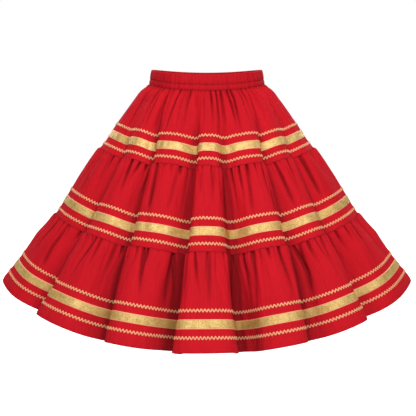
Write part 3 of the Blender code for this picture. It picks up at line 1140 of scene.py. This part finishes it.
def add_inputs(tree: bpy.types.NodeTree, inputs: Sequence[tuple[str, str, float | None]]) -> None:
    """Adds named inputs to a node group.

    Args:
        tree: the node group.
        inputs: name, socket type and default value of each input.
    """
    for label, kind, default in inputs:
        socket = tree.interface.new_socket(name=label, in_out="INPUT", socket_type=kind)
        if default is not None:
            socket.default_value = default


class ClothEffects:
    """Shader node groups that the finishes share."""

    def __init__(self) -> None:
        """Builds the groups."""
        self.weave = self.make_weave()
        self.mottle = self.make_mottle()

    @staticmethod
    def new_group(name: str, inputs: Sequence[tuple[str, str, float | None]], output: str) -> NodeTree:
        """A shader node group with one number as its output.

        Args:
            name: the group's name.
            inputs: name, socket type and default value of each input.
            output: the output's name.

        Returns:
            The group's writer.
        """
        tree = bpy.data.node_groups.new(name, "ShaderNodeTree")
        add_inputs(tree, inputs)
        tree.interface.new_socket(name=output, in_out="OUTPUT", socket_type="NodeSocketFloat")
        return NodeTree(tree)

    def make_weave(self) -> bpy.types.NodeTree:
        """The height of a plain weave: each thread goes over and under the ones that cross it.

        Returns:
            The finished group.
        """
        inputs = [("Place", "NodeSocketVector", None), ("Threads", "NodeSocketFloat", 3000.0)]
        nodes = self.new_group("plain weave", inputs, "Height")
        start = nodes.add("NodeGroupInput").outputs
        place = nodes.parts(nodes.scaled(start["Place"], start["Threads"]))
        parity = nodes.math("ADD", nodes.math("FLOOR", place[0]), nodes.math("FLOOR", place[1]))
        over = nodes.math("FLOORED_MODULO", parity, 2.0)
        heights = []
        for along, on_top in ((place[0], over), (place[1], nodes.math("SUBTRACT", 1.0, over))):
            thread = nodes.math("SINE", nodes.math("MULTIPLY", nodes.math("FRACT", along), math.pi))
            rise = nodes.math("ADD", 0.45, nodes.math("MULTIPLY", on_top, 0.55))
            heights.append(nodes.math("MULTIPLY", thread, rise))
        nodes.add("NodeGroupOutput", {0: nodes.math("MAXIMUM", *heights)})
        return nodes.tree

    def make_mottle(self) -> bpy.types.NodeTree:
        """Soft uneven shade, from 1 - Amount to 1 + Amount.

        Returns:
            The finished group.
        """
        inputs = [
            ("Place", "NodeSocketVector", None),
            ("Scale", "NodeSocketFloat", 20.0),
            ("Amount", "NodeSocketFloat", 0.1),
        ]
        nodes = self.new_group("uneven shade", inputs, "Shade")
        start = nodes.add("NodeGroupInput").outputs
        noise = nodes.first(
            "ShaderNodeTexNoise",
            {"Vector": start["Place"], "Scale": start["Scale"], "Detail": 3.0, "Roughness": 0.55},
        )
        centred = nodes.math("MULTIPLY", nodes.math("SUBTRACT", noise, 0.5), 2.0)
        shade = nodes.math("ADD", 1.0, nodes.math("MULTIPLY", centred, start["Amount"]))
        nodes.add("NodeGroupOutput", {0: shade})
        return nodes.tree


class Uneven(NamedTuple):
    """Uneven shade in a finish: how fine, how strong, and how much it is squeezed down the cloth."""

    scale: float
    amount: float = 1.0
    squeeze: float = 1.0


class Relief(NamedTuple):
    """Fine relief in a finish: its height in metres, and how strong it is."""

    height: float
    strength: float


class Finish:
    """What the finishes share: a material with a Principled BSDF and short ways to reach the effects."""

    def __init__(self, name: str, effects: ClothEffects) -> None:
        """Starts a material.

        Args:
            name: the material's name.
            effects: the shared effects.
        """
        self.material = bpy.data.materials.new(name)
        self.material.use_nodes = True
        self.effects = effects
        self.nodes = NodeTree(self.material.node_tree)
        self.shader = self.material.node_tree.nodes["Principled BSDF"]

    def feed(self, name: str, value: Value) -> None:
        """Links one of the shader's inputs to a socket, or sets its own value."""
        self.nodes.feed(self.shader.inputs[name], value)

    def weave(self, place: Socket, threads: float) -> Socket:
        """The height of a plain weave with so many threads per metre."""
        inputs = {"Place": place, "Threads": threads}
        return self.nodes.first("ShaderNodeGroup", inputs, node_tree=self.effects.weave)

    def uneven(self, place: Socket, kind: Uneven) -> Socket:
        """Soft uneven shade round 1.

        Args:
            place: where on the piece, in metres.
            kind: the unevenness.

        Returns:
            A shade round 1.
        """
        if kind.squeeze != 1.0:
            place = self.nodes.vector("MULTIPLY", place, (1.0, kind.squeeze, 1.0))
        inputs = {"Place": place, "Scale": kind.scale, "Amount": kind.amount}
        return self.nodes.first("ShaderNodeGroup", inputs, node_tree=self.effects.mottle)

    def stored(self, name: str) -> Socket:
        """A number stored on the piece's points."""
        return self.nodes.add("ShaderNodeAttribute", attribute_name=name).outputs["Fac"]

    def fold_shade(self, amount: float) -> Socket:
        """A painted shade from 1 on open cloth down to 1 - amount deep in a fold, read from the fold
        attribute.
        """
        return self.nodes.math("SUBTRACT", 1.0, self.nodes.math("MULTIPLY", self.stored("fold"), amount))

    def shaded(self, colour: Value, shade: Socket) -> Socket:
        """A colour, as a socket or three numbers, times a shade."""
        return self.nodes.vector("MULTIPLY", colour, self.nodes.joined(shade, shade, shade))

    def bump(self, height: Socket, relief: Relief, normal: Socket | None = None) -> Socket:
        """A bumped normal.

        Args:
            height: the relief's height, as a share.
            relief: how high and strong it is.
            normal: another bumped normal that it lies on.

        Returns:
            The normal.
        """
        inputs = {"Height": height, "Distance": relief.height, "Strength": relief.strength}
        if normal is not None:
            inputs["Normal"] = normal
        return self.nodes.first("ShaderNodeBump", inputs)


@dataclass(frozen=True)
class RedCotton:
    """Plain-woven matt red cotton, with painted shade in its folds, under its seams and between its threads.
    """

    colour: tuple[float, float, float] = (0.595, 0.0078, 0.0170)
    threads: float = 2600.0
    roughness: float = 0.85
    specular: float = 0.11
    # How far the painted shade in folds darkens the colour.
    fold_shade: float = 0.74
    painted_shade_between_threads: float = 0.93
    painted_thread_light: float = 0.09
    slubs: Uneven = Uneven(900.0, 0.10, 0.12)
    patches: Uneven = Uneven(30.0, 0.16, 0.30)
    wrinkles: Uneven = Uneven(46.0, 1.0, 0.22)
    crumples: Uneven = Uneven(190.0)
    wrinkle: Relief = Relief(0.0042, 0.8)
    crumple: Relief = Relief(0.00030, 0.6)
    thread: Relief = Relief(0.00006, 0.7)

    def make(self, effects: ClothEffects) -> bpy.types.Material:
        """The material, reading the cloth's own UV map in metres.

        Args:
            effects: the shared effects.

        Returns:
            The new material.
        """
        finish = Finish("red cotton", effects)
        nodes = finish.nodes
        place = nodes.first("ShaderNodeUVMap", uv_map="cloth")
        weave = finish.weave(place, self.threads)
        uneven = nodes.math("MULTIPLY", finish.uneven(place, self.slubs), finish.uneven(place, self.patches))
        # Painted shade between threads: the colour is darker where the weave is low and lighter on the
        # threads' tops.
        thread = nodes.math("ADD", self.painted_shade_between_threads, nodes.math("MULTIPLY", weave, self.painted_thread_light))
        cloth = nodes.math("MULTIPLY", uneven, thread)
        # Painted shade in folds and under seams, read from the fold attribute.
        shade = nodes.math("MULTIPLY", cloth, finish.fold_shade(self.fold_shade))
        finish.feed("Base Color", finish.shaded(self.colour, shade))
        wrinkled = finish.bump(finish.uneven(place, self.wrinkles), self.wrinkle)
        crumpled = finish.bump(finish.uneven(place, self.crumples), self.crumple, wrinkled)
        finish.feed("Normal", finish.bump(weave, self.thread, crumpled))
        finish.feed("Roughness", self.roughness)
        finish.feed("Specular IOR Level", self.specular)
        return finish.material


@dataclass(frozen=True)
class GoldRibbon:
    """Woven metallic ribbon: gold foil threads, with a narrow peach selvedge at each edge, painted shade in
    its folds and a mottle that is partly painted glints and reflections.
    """

    gold: tuple[float, float, float] = (0.90, 0.63, 0.23)
    deep: tuple[float, float, float] = (0.48, 0.25, 0.045)
    peach: tuple[float, float, float] = (0.98, 0.42, 0.20)
    # The colour that the painted shade in folds blends towards.
    shadow: tuple[float, float, float] = (0.30, 0.125, 0.012)
    metallic: float = 0.36
    fold_shade: float = 0.80
    selvedge: float = 0.0015
    threads: float = 1700.0
    smoothest: float = 0.34
    roughest: float = 0.54
    # Mottles: partly the ribbon's own uneven colour, partly painted glints and painted reflection bands.
    blotches_and_reflections: Uneven = Uneven(95.0, 1.0, 0.55)
    foil_and_glints: Uneven = Uneven(1500.0, 1.0, 0.25)
    brocade: Uneven = Uneven(360.0)
    shares: tuple[float, float, float] = (0.34, 0.12, 0.54)
    dark_to_lit: tuple[float, float] = (0.70, 1.18)
    wrinkle: Relief = Relief(0.0006, 0.5)
    thread: Relief = Relief(0.00012, 0.8)

    def make(self, effects: ClothEffects) -> bpy.types.Material:
        """The material, reading the ribbon's own UV map: along it, and down from its upper edge.

        Args:
            effects: the shared effects.

        Returns:
            The new material.
        """
        finish = Finish("gold ribbon", effects)
        nodes = finish.nodes
        place = nodes.first("ShaderNodeUVMap", uv_map="cloth")
        half = RIBBON_WIDTH / 2.0
        from_middle = nodes.math("ABSOLUTE", nodes.math("SUBTRACT", nodes.parts(place)[1], half))
        edge = nodes.math("GREATER_THAN", from_middle, half - self.selvedge)
        blotch_and_reflections, grain_and_glints, brocade = (
            finish.uneven(place, kind) for kind in (self.blotches_and_reflections, self.foil_and_glints, self.brocade)
        )
        # The gold-to-deep mottle is partly the ribbon's own uneven foil and brocade colour and partly
        # painted glints and painted brighter and darker reflection bands.
        parts = [nodes.math("MULTIPLY", *pair) for pair in zip((blotch_and_reflections, grain_and_glints, brocade), self.shares)]
        mix = nodes.math("ADD", nodes.math("ADD", parts[0], parts[1]), parts[2])
        gold = nodes.blend(nodes.ranged(mix, *self.dark_to_lit), self.deep, self.gold)
        colour = nodes.blend(edge, gold, self.peach)
        # Painted shade: deep in folds the colour blends towards the shadow colour.
        folded = nodes.math("MULTIPLY", finish.stored("fold"), self.fold_shade)
        finish.feed("Base Color", nodes.blend(folded, colour, self.shadow))
        metal = nodes.math("MULTIPLY", nodes.math("SUBTRACT", 1.0, edge), self.metallic)
        finish.feed("Metallic", metal)
        finish.feed("Roughness", nodes.ranged(grain_and_glints, 0.6, 1.4, self.smoothest, self.roughest))
        wrinkled = finish.bump(blotch_and_reflections, self.wrinkle)
        finish.feed("Normal", finish.bump(finish.weave(place, self.threads), self.thread, wrinkled))
        return finish.material


@dataclass(frozen=True)
class ZigzagBraid:
    """Pale peach-gold braid, with fine strands running along it and painted shade where it crosses folds."""

    colour: tuple[float, float, float] = (1.0, 0.53, 0.28)
    dark: tuple[float, float, float] = (0.98, 0.34, 0.15)
    roughness: float = 0.55
    metallic: float = 0.12
    sheen: float = 0.1
    fold_shade: float = 0.50
    turns_around: float = 50.0
    turns_along: float = 5200.0
    patches: Uneven = Uneven(220.0, 0.14)
    strand: Relief = Relief(0.00012, 0.7)

    def make(self, effects: ClothEffects) -> bpy.types.Material:
        """The material, reading how far along and around the braid a point lies.

        Args:
            effects: the shared effects.

        Returns:
            The new material.
        """
        finish = Finish("zigzag braid", effects)
        nodes = finish.nodes
        around = nodes.math("MULTIPLY", finish.stored("around"), self.turns_around)
        along = nodes.math("MULTIPLY", finish.stored("travelled"), self.turns_along)
        strand = nodes.ranged(nodes.math("SINE", nodes.math("ADD", around, along)), -1.0, 1.0)
        place = nodes.add("ShaderNodeTexCoord").outputs["Object"]
        uneven = finish.uneven(place, self.patches)
        # Painted shade in folds, carried over from the cloth under the braid.
        shade = nodes.math("MULTIPLY", uneven, finish.fold_shade(self.fold_shade))
        finish.feed("Base Color", finish.shaded(nodes.blend(strand, self.dark, self.colour), shade))
        finish.feed("Normal", finish.bump(strand, self.strand))
        finish.feed("Roughness", self.roughness)
        finish.feed("Metallic", self.metallic)
        finish.feed("Sheen Weight", self.sheen)
        return finish.material


@dataclass(frozen=True)
class Thread:
    """Sewing thread in one colour."""

    name: str
    colour: tuple[float, float, float]
    roughness: float = 0.6
    twist: Uneven = Uneven(900.0, 0.25)

    def make(self, effects: ClothEffects) -> bpy.types.Material:
        """The material, with a fine twist.

        Args:
            effects: the shared effects.

        Returns:
            The new material.
        """
        finish = Finish(self.name, effects)
        place = finish.nodes.add("ShaderNodeTexCoord").outputs["Object"]
        finish.feed("Base Color", finish.shaded(self.colour, finish.uneven(place, self.twist)))
        finish.feed("Roughness", self.roughness)
        return finish.material


class Finishes:
    """Every finish of the skirt, made once."""

    def __init__(self) -> None:
        """Makes the materials."""
        effects = ClothEffects()
        self.cotton = RedCotton().make(effects)
        self.ribbon = GoldRibbon().make(effects)
        self.braid = ZigzagBraid().make(effects)
        self.red_thread = Thread("red thread", (0.46, 0.008, 0.016)).make(effects)
        self.gold_thread = Thread("gold thread", (0.78, 0.46, 0.18)).make(effects)


def place_piece(piece: bpy.types.Object, slot: Slot, *nodes: str) -> None:
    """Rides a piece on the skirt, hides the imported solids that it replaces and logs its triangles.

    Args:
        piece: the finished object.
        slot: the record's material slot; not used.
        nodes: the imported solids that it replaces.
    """
    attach(piece, "root")
    if nodes:
        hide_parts(*nodes)
    piece.data.calc_loop_triangles()
    LOG.info("%s: %d triangles", piece.name, len(piece.data.loop_triangles))


@dataclass
class GatheredTier:
    """One tier with its ribbon, zigzag braids and stitching."""

    tier: Tier
    cloth: TierCloth
    finishes: Finishes
    trees: PathTrees
    ribbon_base: float = 0.0001
    ribbon_lift: float = 0.0007
    ribbon_crown: float = 0.00085
    ribbon_bevel: float = 0.0003
    ribbon_stitch: float = 0.0018
    braid_swing: float = 0.0052
    braid_width: float = 0.0027
    braid_thickness: float = 0.0011
    braid_gap: float = 0.0003
    wave_length: float = 0.0068
    allowance: float = 0.009
    hem_allowance: float = 0.016
    hem_stitch: float = 0.013
    seam_stitch: float = 0.0025
    tuck_depth: float = 0.0012
    tuck_share: float = 0.3
    tuck_places: tuple[float, ...] = (-0.010, -0.006, -0.002)
    casing_tuck: tuple[tuple[float, float], ...] = ((0.0070, 0.0030), (0.0025, 0.0020), (0.0001, 0.0014))
    edge_fold: float = 0.0010
    edge_curl: tuple[tuple[float, float], ...] = ((0.55, 0.15), (0.8, 0.5), (0.55, 0.9))
    edge_stitches: Stitching = Stitching(0.0036, 0.0026, 0.0005, 0.0001)
    ribbon_stitches: Stitching = Stitching(0.0032, 0.0023, 0.00045, 0.0009)

    def build(self) -> None:
        """Makes all the tier's pieces."""
        cloth = self.build_cloth()
        ribbon = self.build_ribbon()
        for place, drop in (("head", self.tier.head_braid), ("foot", self.tier.foot_braid)):
            self.build_braid(place, drop)
        self.build_edge_stitches()

    def drops(self) -> np.ndarray:
        """Rows down the cloth, closer together just below the seam."""
        part = np.linspace(0.0, 1.0, self.tier.rows)
        return self.tier.length * (0.55 * part + 0.45 * part**2)

    def rows_behind_seam(self, first_row: np.ndarray) -> list[np.ndarray]:
        """Rows that tuck the strip's top behind the tier above, the highest first.

        Args:
            first_row: the cloth's own first row of points.

        Returns:
            Three rows of points.
        """
        raised = (first_row - self.cloth.plain_rows(np.array([0.0]))[0]) * self.tuck_share
        rows = []
        for above in (self.allowance, self.allowance * 0.5, 0.0015):
            behind = self.cloth.plain_rows(np.array([-above, -above + 0.002, -above + 0.004]))
            rows.append(behind[0] - self.cloth.normals(behind)[0] * self.tuck_depth + raised)
        return rows

    def rows_in_casing(self) -> list[np.ndarray]:
        """Rows that carry the upper tier's top up inside the waistband's casing, the highest first.

        Returns:
            Three rows of points.
        """
        seam = self.cloth.plain_rows(np.array([0.0]))[0]
        round_it = np.roll(seam, -1, axis=0) - np.roll(seam, 1, axis=0)
        outward = unit(np.column_stack([round_it[:, 1], -round_it[:, 0], np.zeros(len(seam))]))
        return [seam - outward * inward + (0.0, 0.0, rise) for rise, inward in self.casing_tuck]

    def turned_edge(self) -> list[tuple[float, float]]:
        """The lower edge's section, which turns up inside.

        Returns:
            Pairs of a drop and an inward offset.
        """
        bottom = self.tier.length
        length = self.hem_allowance if self.tier.hemmed else self.allowance
        curl = [(bottom + self.edge_fold * past, self.edge_fold * inward) for past, inward in self.edge_curl]
        return curl + [(bottom - step, self.edge_fold) for step in np.linspace(0.002, length, 5)]

    def lower_edge(self, grid: np.ndarray) -> tuple[list[np.ndarray], list[float]]:
        """The strip's turned-up lower edge.

        Args:
            grid: the cloth's own points, rows by columns.

        Returns:
            The edge's rows, and their distances across the strip.
        """
        bottom = self.tier.length
        down = unit(grid[-1] - grid[-2])
        outward = self.cloth.normals(grid)[-1]
        rows, places = [], []
        for drop, inward in self.turned_edge():
            if drop >= bottom:
                rows.append(grid[-1] + down * (drop - bottom) - outward * inward)
            else:
                near = self.cloth.grid(np.array([drop - 0.001, drop, drop + 0.001]))
                rows.append(near[1] - self.cloth.normals(near)[1] * inward)
            places.append(2.0 * bottom - drop + 0.004)
        return rows, places

    def build_cloth(self) -> bpy.types.Object:
        """The gathered strip, with its lower edge turned up inside and its top tucked behind the seam.

        Returns:
            The piece.
        """
        drops = self.drops()
        grid = self.cloth.grid(drops)
        top = self.rows_in_casing() if self.tier.top == 0.0 else self.rows_behind_seam(grid[0])
        edge, edge_places = self.lower_edge(grid)
        places = np.array([*self.tuck_places, *drops, *edge_places])
        folds = self.cloth.painted_shade(drops)
        folds = np.array([*[folds[0]] * len(top), *folds, *[folds[-1]] * len(edge)])
        piece = mesh_piece(
            f"{self.tier.name}_tier_cloth",
            np.array([*top, *grid, *edge]),
            (self.tier.cut_length, places),
            folds,
            self.finishes.cotton,
        )
        place_piece(piece, Slot.COTTON, f"{self.tier.name}_tier")
        return piece

    def build_ribbon(self) -> bpy.types.Object:
        """The flat metallic ribbon, with its edges turned down to the cloth, and its stitches.

        Returns:
            The ribbon.
        """
        half = RIBBON_WIDTH / 2.0
        flat = half - 4.0 * self.ribbon_bevel
        outside = [(-half, self.ribbon_base), (-half + self.ribbon_bevel, self.ribbon_lift)]
        outside += [(down, self.ribbon_crown) for down in np.linspace(-flat, flat, 5)]
        outside += [(half - self.ribbon_bevel, self.ribbon_lift), (half, self.ribbon_base)]
        down = np.array([half + drop for drop, _ in outside])
        piece = mesh_piece(
            f"{self.tier.name}_ribbon_band",
            self.cloth.strip(self.tier.ribbon, outside),
            (self.tier.cut_length, down),
            self.cloth.painted_shade(self.tier.ribbon - half + down),
            self.finishes.ribbon,
        )
        place_piece(piece, Slot.RIBBON, f"{self.tier.name}_ribbon")
        for edge, side in (("upper", -1.0), ("lower", 1.0)):
            path = self.cloth.path(self.tier.ribbon + side * (half - self.ribbon_stitch))
            name = f"{self.tier.name}_ribbon_stitches_{edge}"
            row = self.ribbon_stitches.sew(self.trees, path, name, self.finishes.gold_thread)
            place_piece(row, Slot.RIBBON)
        return piece

    def build_edge_stitches(self) -> None:
        """The row of stitches that holds the turned-up lower edge."""
        above = self.hem_stitch if self.tier.hemmed else self.seam_stitch
        path = self.cloth.path(self.tier.length - above)
        name = f"{self.tier.name}_edge_stitches"
        place_piece(self.edge_stitches.sew(self.trees, path, name, self.finishes.red_thread), Slot.COTTON)

    def build_braid(self, place: str, drop: float) -> None:
        """One zigzag braid.

        Args:
            place: head for the upper braid, foot for the lower one.
            drop: its drop below the tier's top.
        """
        values = {
            "Wave Length": self.wave_length,
            "Wave Height": self.braid_swing,
            "Braid Width": self.braid_width,
            "Braid Thickness": self.braid_thickness,
            "Lift": self.braid_thickness / 2.0 + self.braid_gap,
            "Material": self.finishes.braid,
        }
        name = f"{self.tier.name}_zigzag_{place}"
        piece = self.trees.grow(self.trees.braid, self.cloth.path(drop), name, values)
        place_piece(piece, Slot.RICRAC, f"{self.tier.name}_ricrac_{place}")


@dataclass
class Waistband:
    """The elastic casing: ruched cloth, folded at its top, with a stitched line above its lower seam."""

    finishes: Finishes
    trees: PathTrees
    thickness: float = 0.0034
    top_half: tuple[float, float] = (0.1222, 0.0955)
    columns: int = 1080
    stitch_line: float = 0.64
    ruches: Gathers = Gathers(92, 0.0009, 0.26, 1.0, 1.2, 0.4, 0.0, 5)
    fine_ruches: Gathers = Gathers(171, 0.0005, 0.25, 1.0, 1.2, 0.8, 0.0, 6)
    open_ruche: float = 0.45
    line_ruche: float = 0.75
    line_reach: float = 0.05
    shade_reach: float = 0.045
    line_pinch: float = 0.0008
    closed_ruche: float = 0.0016
    # Painted shade: an even darkening of the band, more in closed ruches and along the stitched line.
    even_painted_shade: float = 0.09
    ruche_shade: float = 0.30
    line_shade: float = 0.40
    upper_channel: float = 0.0011
    lower_channel: float = 0.0009
    slack: float = 0.0006
    fold_top: float = 0.04
    fold_rise: float = 0.045
    cut: tuple[float, float] = (0.94, 0.070)
    outside: tuple[float, ...] = (
        1.0, 0.93, 0.85, 0.76, 0.70, 0.665, 0.64, 0.615, 0.57, 0.48, 0.38, 0.28, 0.18, 0.10, 0.04,
    )
    fold: tuple[int, ...] = (30, 60, 90, 120, 150)
    inside: tuple[float, ...] = (0.06, 0.15, 0.30, 0.45, 0.60, 0.64, 0.68, 0.85, 0.99)
    stitches: Stitching = Stitching(0.0030, 0.0022, 0.0005, 0.0001)

    def ring(self, share: float, outward: np.ndarray | float) -> np.ndarray:
        """Points once round the band.

        Args:
            share: share of the band's height from its top.
            outward: distance outside the band.

        Returns:
            One row of points.
        """
        angle = (np.arange(self.columns) / self.columns - 0.5) * 2.0 * math.pi
        width, depth = (top + (foot - top) * share for top, foot in zip(self.top_half, BAND_FOOT))
        x = (width + outward) * np.sin(angle)
        y = -(depth + outward) * np.cos(angle)
        return np.column_stack([x, y, BAND_HEIGHT * (0.5 - share) - waist_dip(angle)])

    def near_line(self, share: float, reach: float) -> float:
        """From 1 on the stitched line to 0 away from it."""
        return math.exp(-(((share - self.stitch_line) / reach) ** 2))

    def ruching(self, share: float) -> np.ndarray:
        """How far the ruched cloth stands out.

        Args:
            share: share of the band's height from its top.

        Returns:
            One height in metres for each column.
        """
        places = np.arange(self.columns) / self.columns
        down = np.array([share * BAND_HEIGHT])
        ruche = self.ruches.heights(places, down)[0] + self.fine_ruches.heights(places, down)[0]
        ends = smooth_step(np.array([share]), 0.0, 0.10)[0]
        line = self.near_line(share, self.line_reach)
        return ruche * (self.open_ruche + self.line_ruche * line) * (0.35 + 0.65 * ends)

    def painted_shade(self, share: float) -> np.ndarray:
        """Painted shade for the band's colour, from 0 to 1: an even darkening, more in closed ruches, along
        the stitched line and just above the lower seam.

        Args:
            share: share of the band's height from its top.

        Returns:
            One share of painted shade for each column.
        """
        line = max(self.near_line(share, self.shade_reach), math.exp(-((1.0 - share) / 0.04)))
        ruche = smooth_step(-self.ruching(share) / self.closed_ruche, 0.10, 1.0)
        return 1.0 - (1.0 - self.even_painted_shade) * (1.0 - self.ruche_shade * ruche) * (1.0 - self.line_shade * line)

    def bulge(self, share: float) -> float:
        """The channels' own swelling between the fold, the stitched line and the seam.

        Args:
            share: share of the band's height from its top.

        Returns:
            A height in metres.
        """
        if share < self.stitch_line:
            part, height = share / self.stitch_line, self.upper_channel
        else:
            part, height = (share - self.stitch_line) / (1.0 - self.stitch_line), self.lower_channel
        return height * math.sin(math.pi * part) ** 0.6

    def rows(self) -> list[tuple[np.ndarray, float, np.ndarray]]:
        """The casing's rows, from its lower seam over the fold and down inside.

        Returns:
            Each row's points, distance across the strip and painted shade.
        """
        rows = []
        for share in self.outside:
            points = self.ring(share, self.ruching(share) + self.bulge(share) - self.slack)
            rows.append((points, BAND_HEIGHT * share, self.painted_shade(share)))
        for angle in self.fold:
            turn = math.radians(angle)
            inward = self.thickness / 2.0 * (1.0 - math.cos(turn))
            ruche = self.ruching(0.05) * math.cos(turn / 2.0)
            share = self.fold_top - self.fold_rise * math.sin(turn)
            points = self.ring(share, ruche - inward - 0.0004)
            rows.append((points, -0.001 * angle / 30.0, self.painted_shade(0.05)))
        for share in self.inside:
            pinch = self.line_pinch * self.near_line(share, self.line_reach)
            points = self.ring(share, -self.thickness + pinch - self.ruching(share) * 0.6)
            rows.append((points, -0.006 - BAND_HEIGHT * share, np.zeros(self.columns)))
        return rows

    def build(self) -> None:
        loops, across, folds = (np.array(part) for part in zip(*reversed(self.rows())))
        piece = mesh_piece("waistband_casing", loops, (self.cut[0], across), folds, self.finishes.cotton)
        place_piece(piece, Slot.COTTON, "waistband")
        self.build_stitches()

    def build_stitches(self) -> None:
        """The stitched line that holds the elastic in its channel."""
        on_cloth = self.ruching(self.stitch_line) - self.slack
        points = self.ring(self.stitch_line, on_cloth)
        below = self.ring(self.stitch_line + 0.05, on_cloth)
        outward = unit(self.ring(self.stitch_line, 0.01) - self.ring(self.stitch_line, 0.0))
        path = ClothPath(points, outward, unit(below - points), self.painted_shade(self.stitch_line))
        row = self.stitches.sew(self.trees, path, "waistband_stitches", self.finishes.red_thread)
        place_piece(row, Slot.COTTON)


@dataclass(frozen=True)
class SoftLight:
    """One large soft lamp."""

    name: str
    place: tuple[float, float, float]
    aim: tuple[float, float, float]
    size: float
    power: float

    def build(self) -> None:
        """Adds the lamp, turned towards its aim."""
        data = bpy.data.lights.new(self.name, "AREA")
        data.shape = "DISK"
        data.size = self.size
        data.energy = self.power
        lamp = linked_object(self.name, data)
        lamp.location = self.place
        x, y, z = np.array(self.aim) - np.array(self.place)
        lamp.rotation_euler = (math.atan2(math.hypot(x, y), -z), 0.0, math.atan2(y, x) - math.pi / 2.0)


@dataclass
class Studio:
    """The pale floor, the soft lights and the camera."""

    floor_height: float = -1.02
    floor_radius: float = 7.0
    floor_sides: int = 64
    floor_grey: float = 0.60
    floor_lift: float = 0.95
    distance: float = 1.5
    eye_height: float = 0.04
    tilt: float = 12.62
    aside: float = 0.0025
    lens: float = 57.7
    low_glow: float = 0.04
    high_glow: float = 0.22
    lamps: tuple[SoftLight, ...] = (
        SoftLight("key", (-0.05, -2.1, 2.0), (0.0, 0.0, -0.25), 0.8, 60.0),
        SoftLight("front", (0.6, -2.6, 0.5), (0.0, 0.0, -0.25), 1.2, 18.0),
        SoftLight("back_left", (-1.7, 2.3, 1.3), (0.0, 0.0, -0.3), 1.6, 40.0),
        SoftLight("back_right", (1.7, 2.3, 1.3), (0.0, 0.0, -0.3), 1.6, 40.0),
    )

    def build(self) -> None:
        """Makes the floor, lights, world and camera."""
        self.build_floor()
        for lamp in self.lamps:
            lamp.build()
        self.build_world()
        bpy.context.scene.view_settings.view_transform = "Standard"
        data = bpy.data.cameras.new("camera")
        data.sensor_width = 36.0
        data.lens = self.lens
        camera = linked_object("camera", data)
        camera.location = (self.aside, -self.distance, self.eye_height)
        camera.rotation_euler = (math.radians(90.0 - self.tilt), 0.0, 0.0)
        bpy.context.scene.camera = camera

    def build_world(self) -> None:
        """A white surround to look at, which lights the cloth more gently from below than from above."""
        world = bpy.data.worlds.new("studio")
        world.use_nodes = True
        nodes = NodeTree(world.node_tree)
        height = nodes.parts(nodes.add("ShaderNodeTexCoord").outputs["Generated"])[2]
        glow = nodes.ranged(height, -0.6, 0.9, self.low_glow, self.high_glow)
        seen = nodes.add("ShaderNodeLightPath").outputs["Is Camera Ray"]
        background = world.node_tree.nodes["Background"]
        background.inputs["Color"].default_value = (1.0, 1.0, 1.0, 1.0)
        strength = nodes.first("ShaderNodeMix", {"Factor": seen, "A": glow, "B": 1.0})
        nodes.feed(background.inputs["Strength"], strength)
        bpy.context.scene.world = world

    def build_floor(self) -> None:
        """A plain pale floor, as a large round plate."""
        material = bpy.data.materials.new("pale floor")
        material.use_nodes = True
        shader = material.node_tree.nodes["Principled BSDF"]
        shader.inputs["Base Color"].default_value = (*[self.floor_grey] * 3, 1.0)
        shader.inputs["Roughness"].default_value = 0.9
        shader.inputs["Emission Color"].default_value = (1.0, 1.0, 1.0, 1.0)
        nodes = NodeTree(material.node_tree)
        seen = nodes.add("ShaderNodeLightPath").outputs["Is Camera Ray"]
        nodes.feed(shader.inputs["Emission Strength"], nodes.math("MULTIPLY", seen, self.floor_lift))
        mesh = bpy.data.meshes.new("floor")
        turns = np.linspace(0.0, 2.0 * math.pi, self.floor_sides, endpoint=False)
        ring = [
            (self.floor_radius * math.cos(turn), self.floor_radius * math.sin(turn), self.floor_height)
            for turn in turns
        ]
        mesh.from_pydata(ring, [], [list(range(self.floor_sides))])
        mesh.materials.append(material)
        linked_object("floor", mesh)


def main() -> None:
    """Builds the skirt and its studio."""
    logging.basicConfig(level=logging.INFO, format="%(name)s: %(message)s")
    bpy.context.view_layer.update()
    finishes = Finishes()
    trees = PathTrees()
    form = SkirtForm()
    Waistband(finishes, trees).build()
    for tier in TIERS:
        GatheredTier(tier, TierCloth(form, tier), finishes, trees).build()
    Studio().build()


if __name__ == "__main__":
    main()
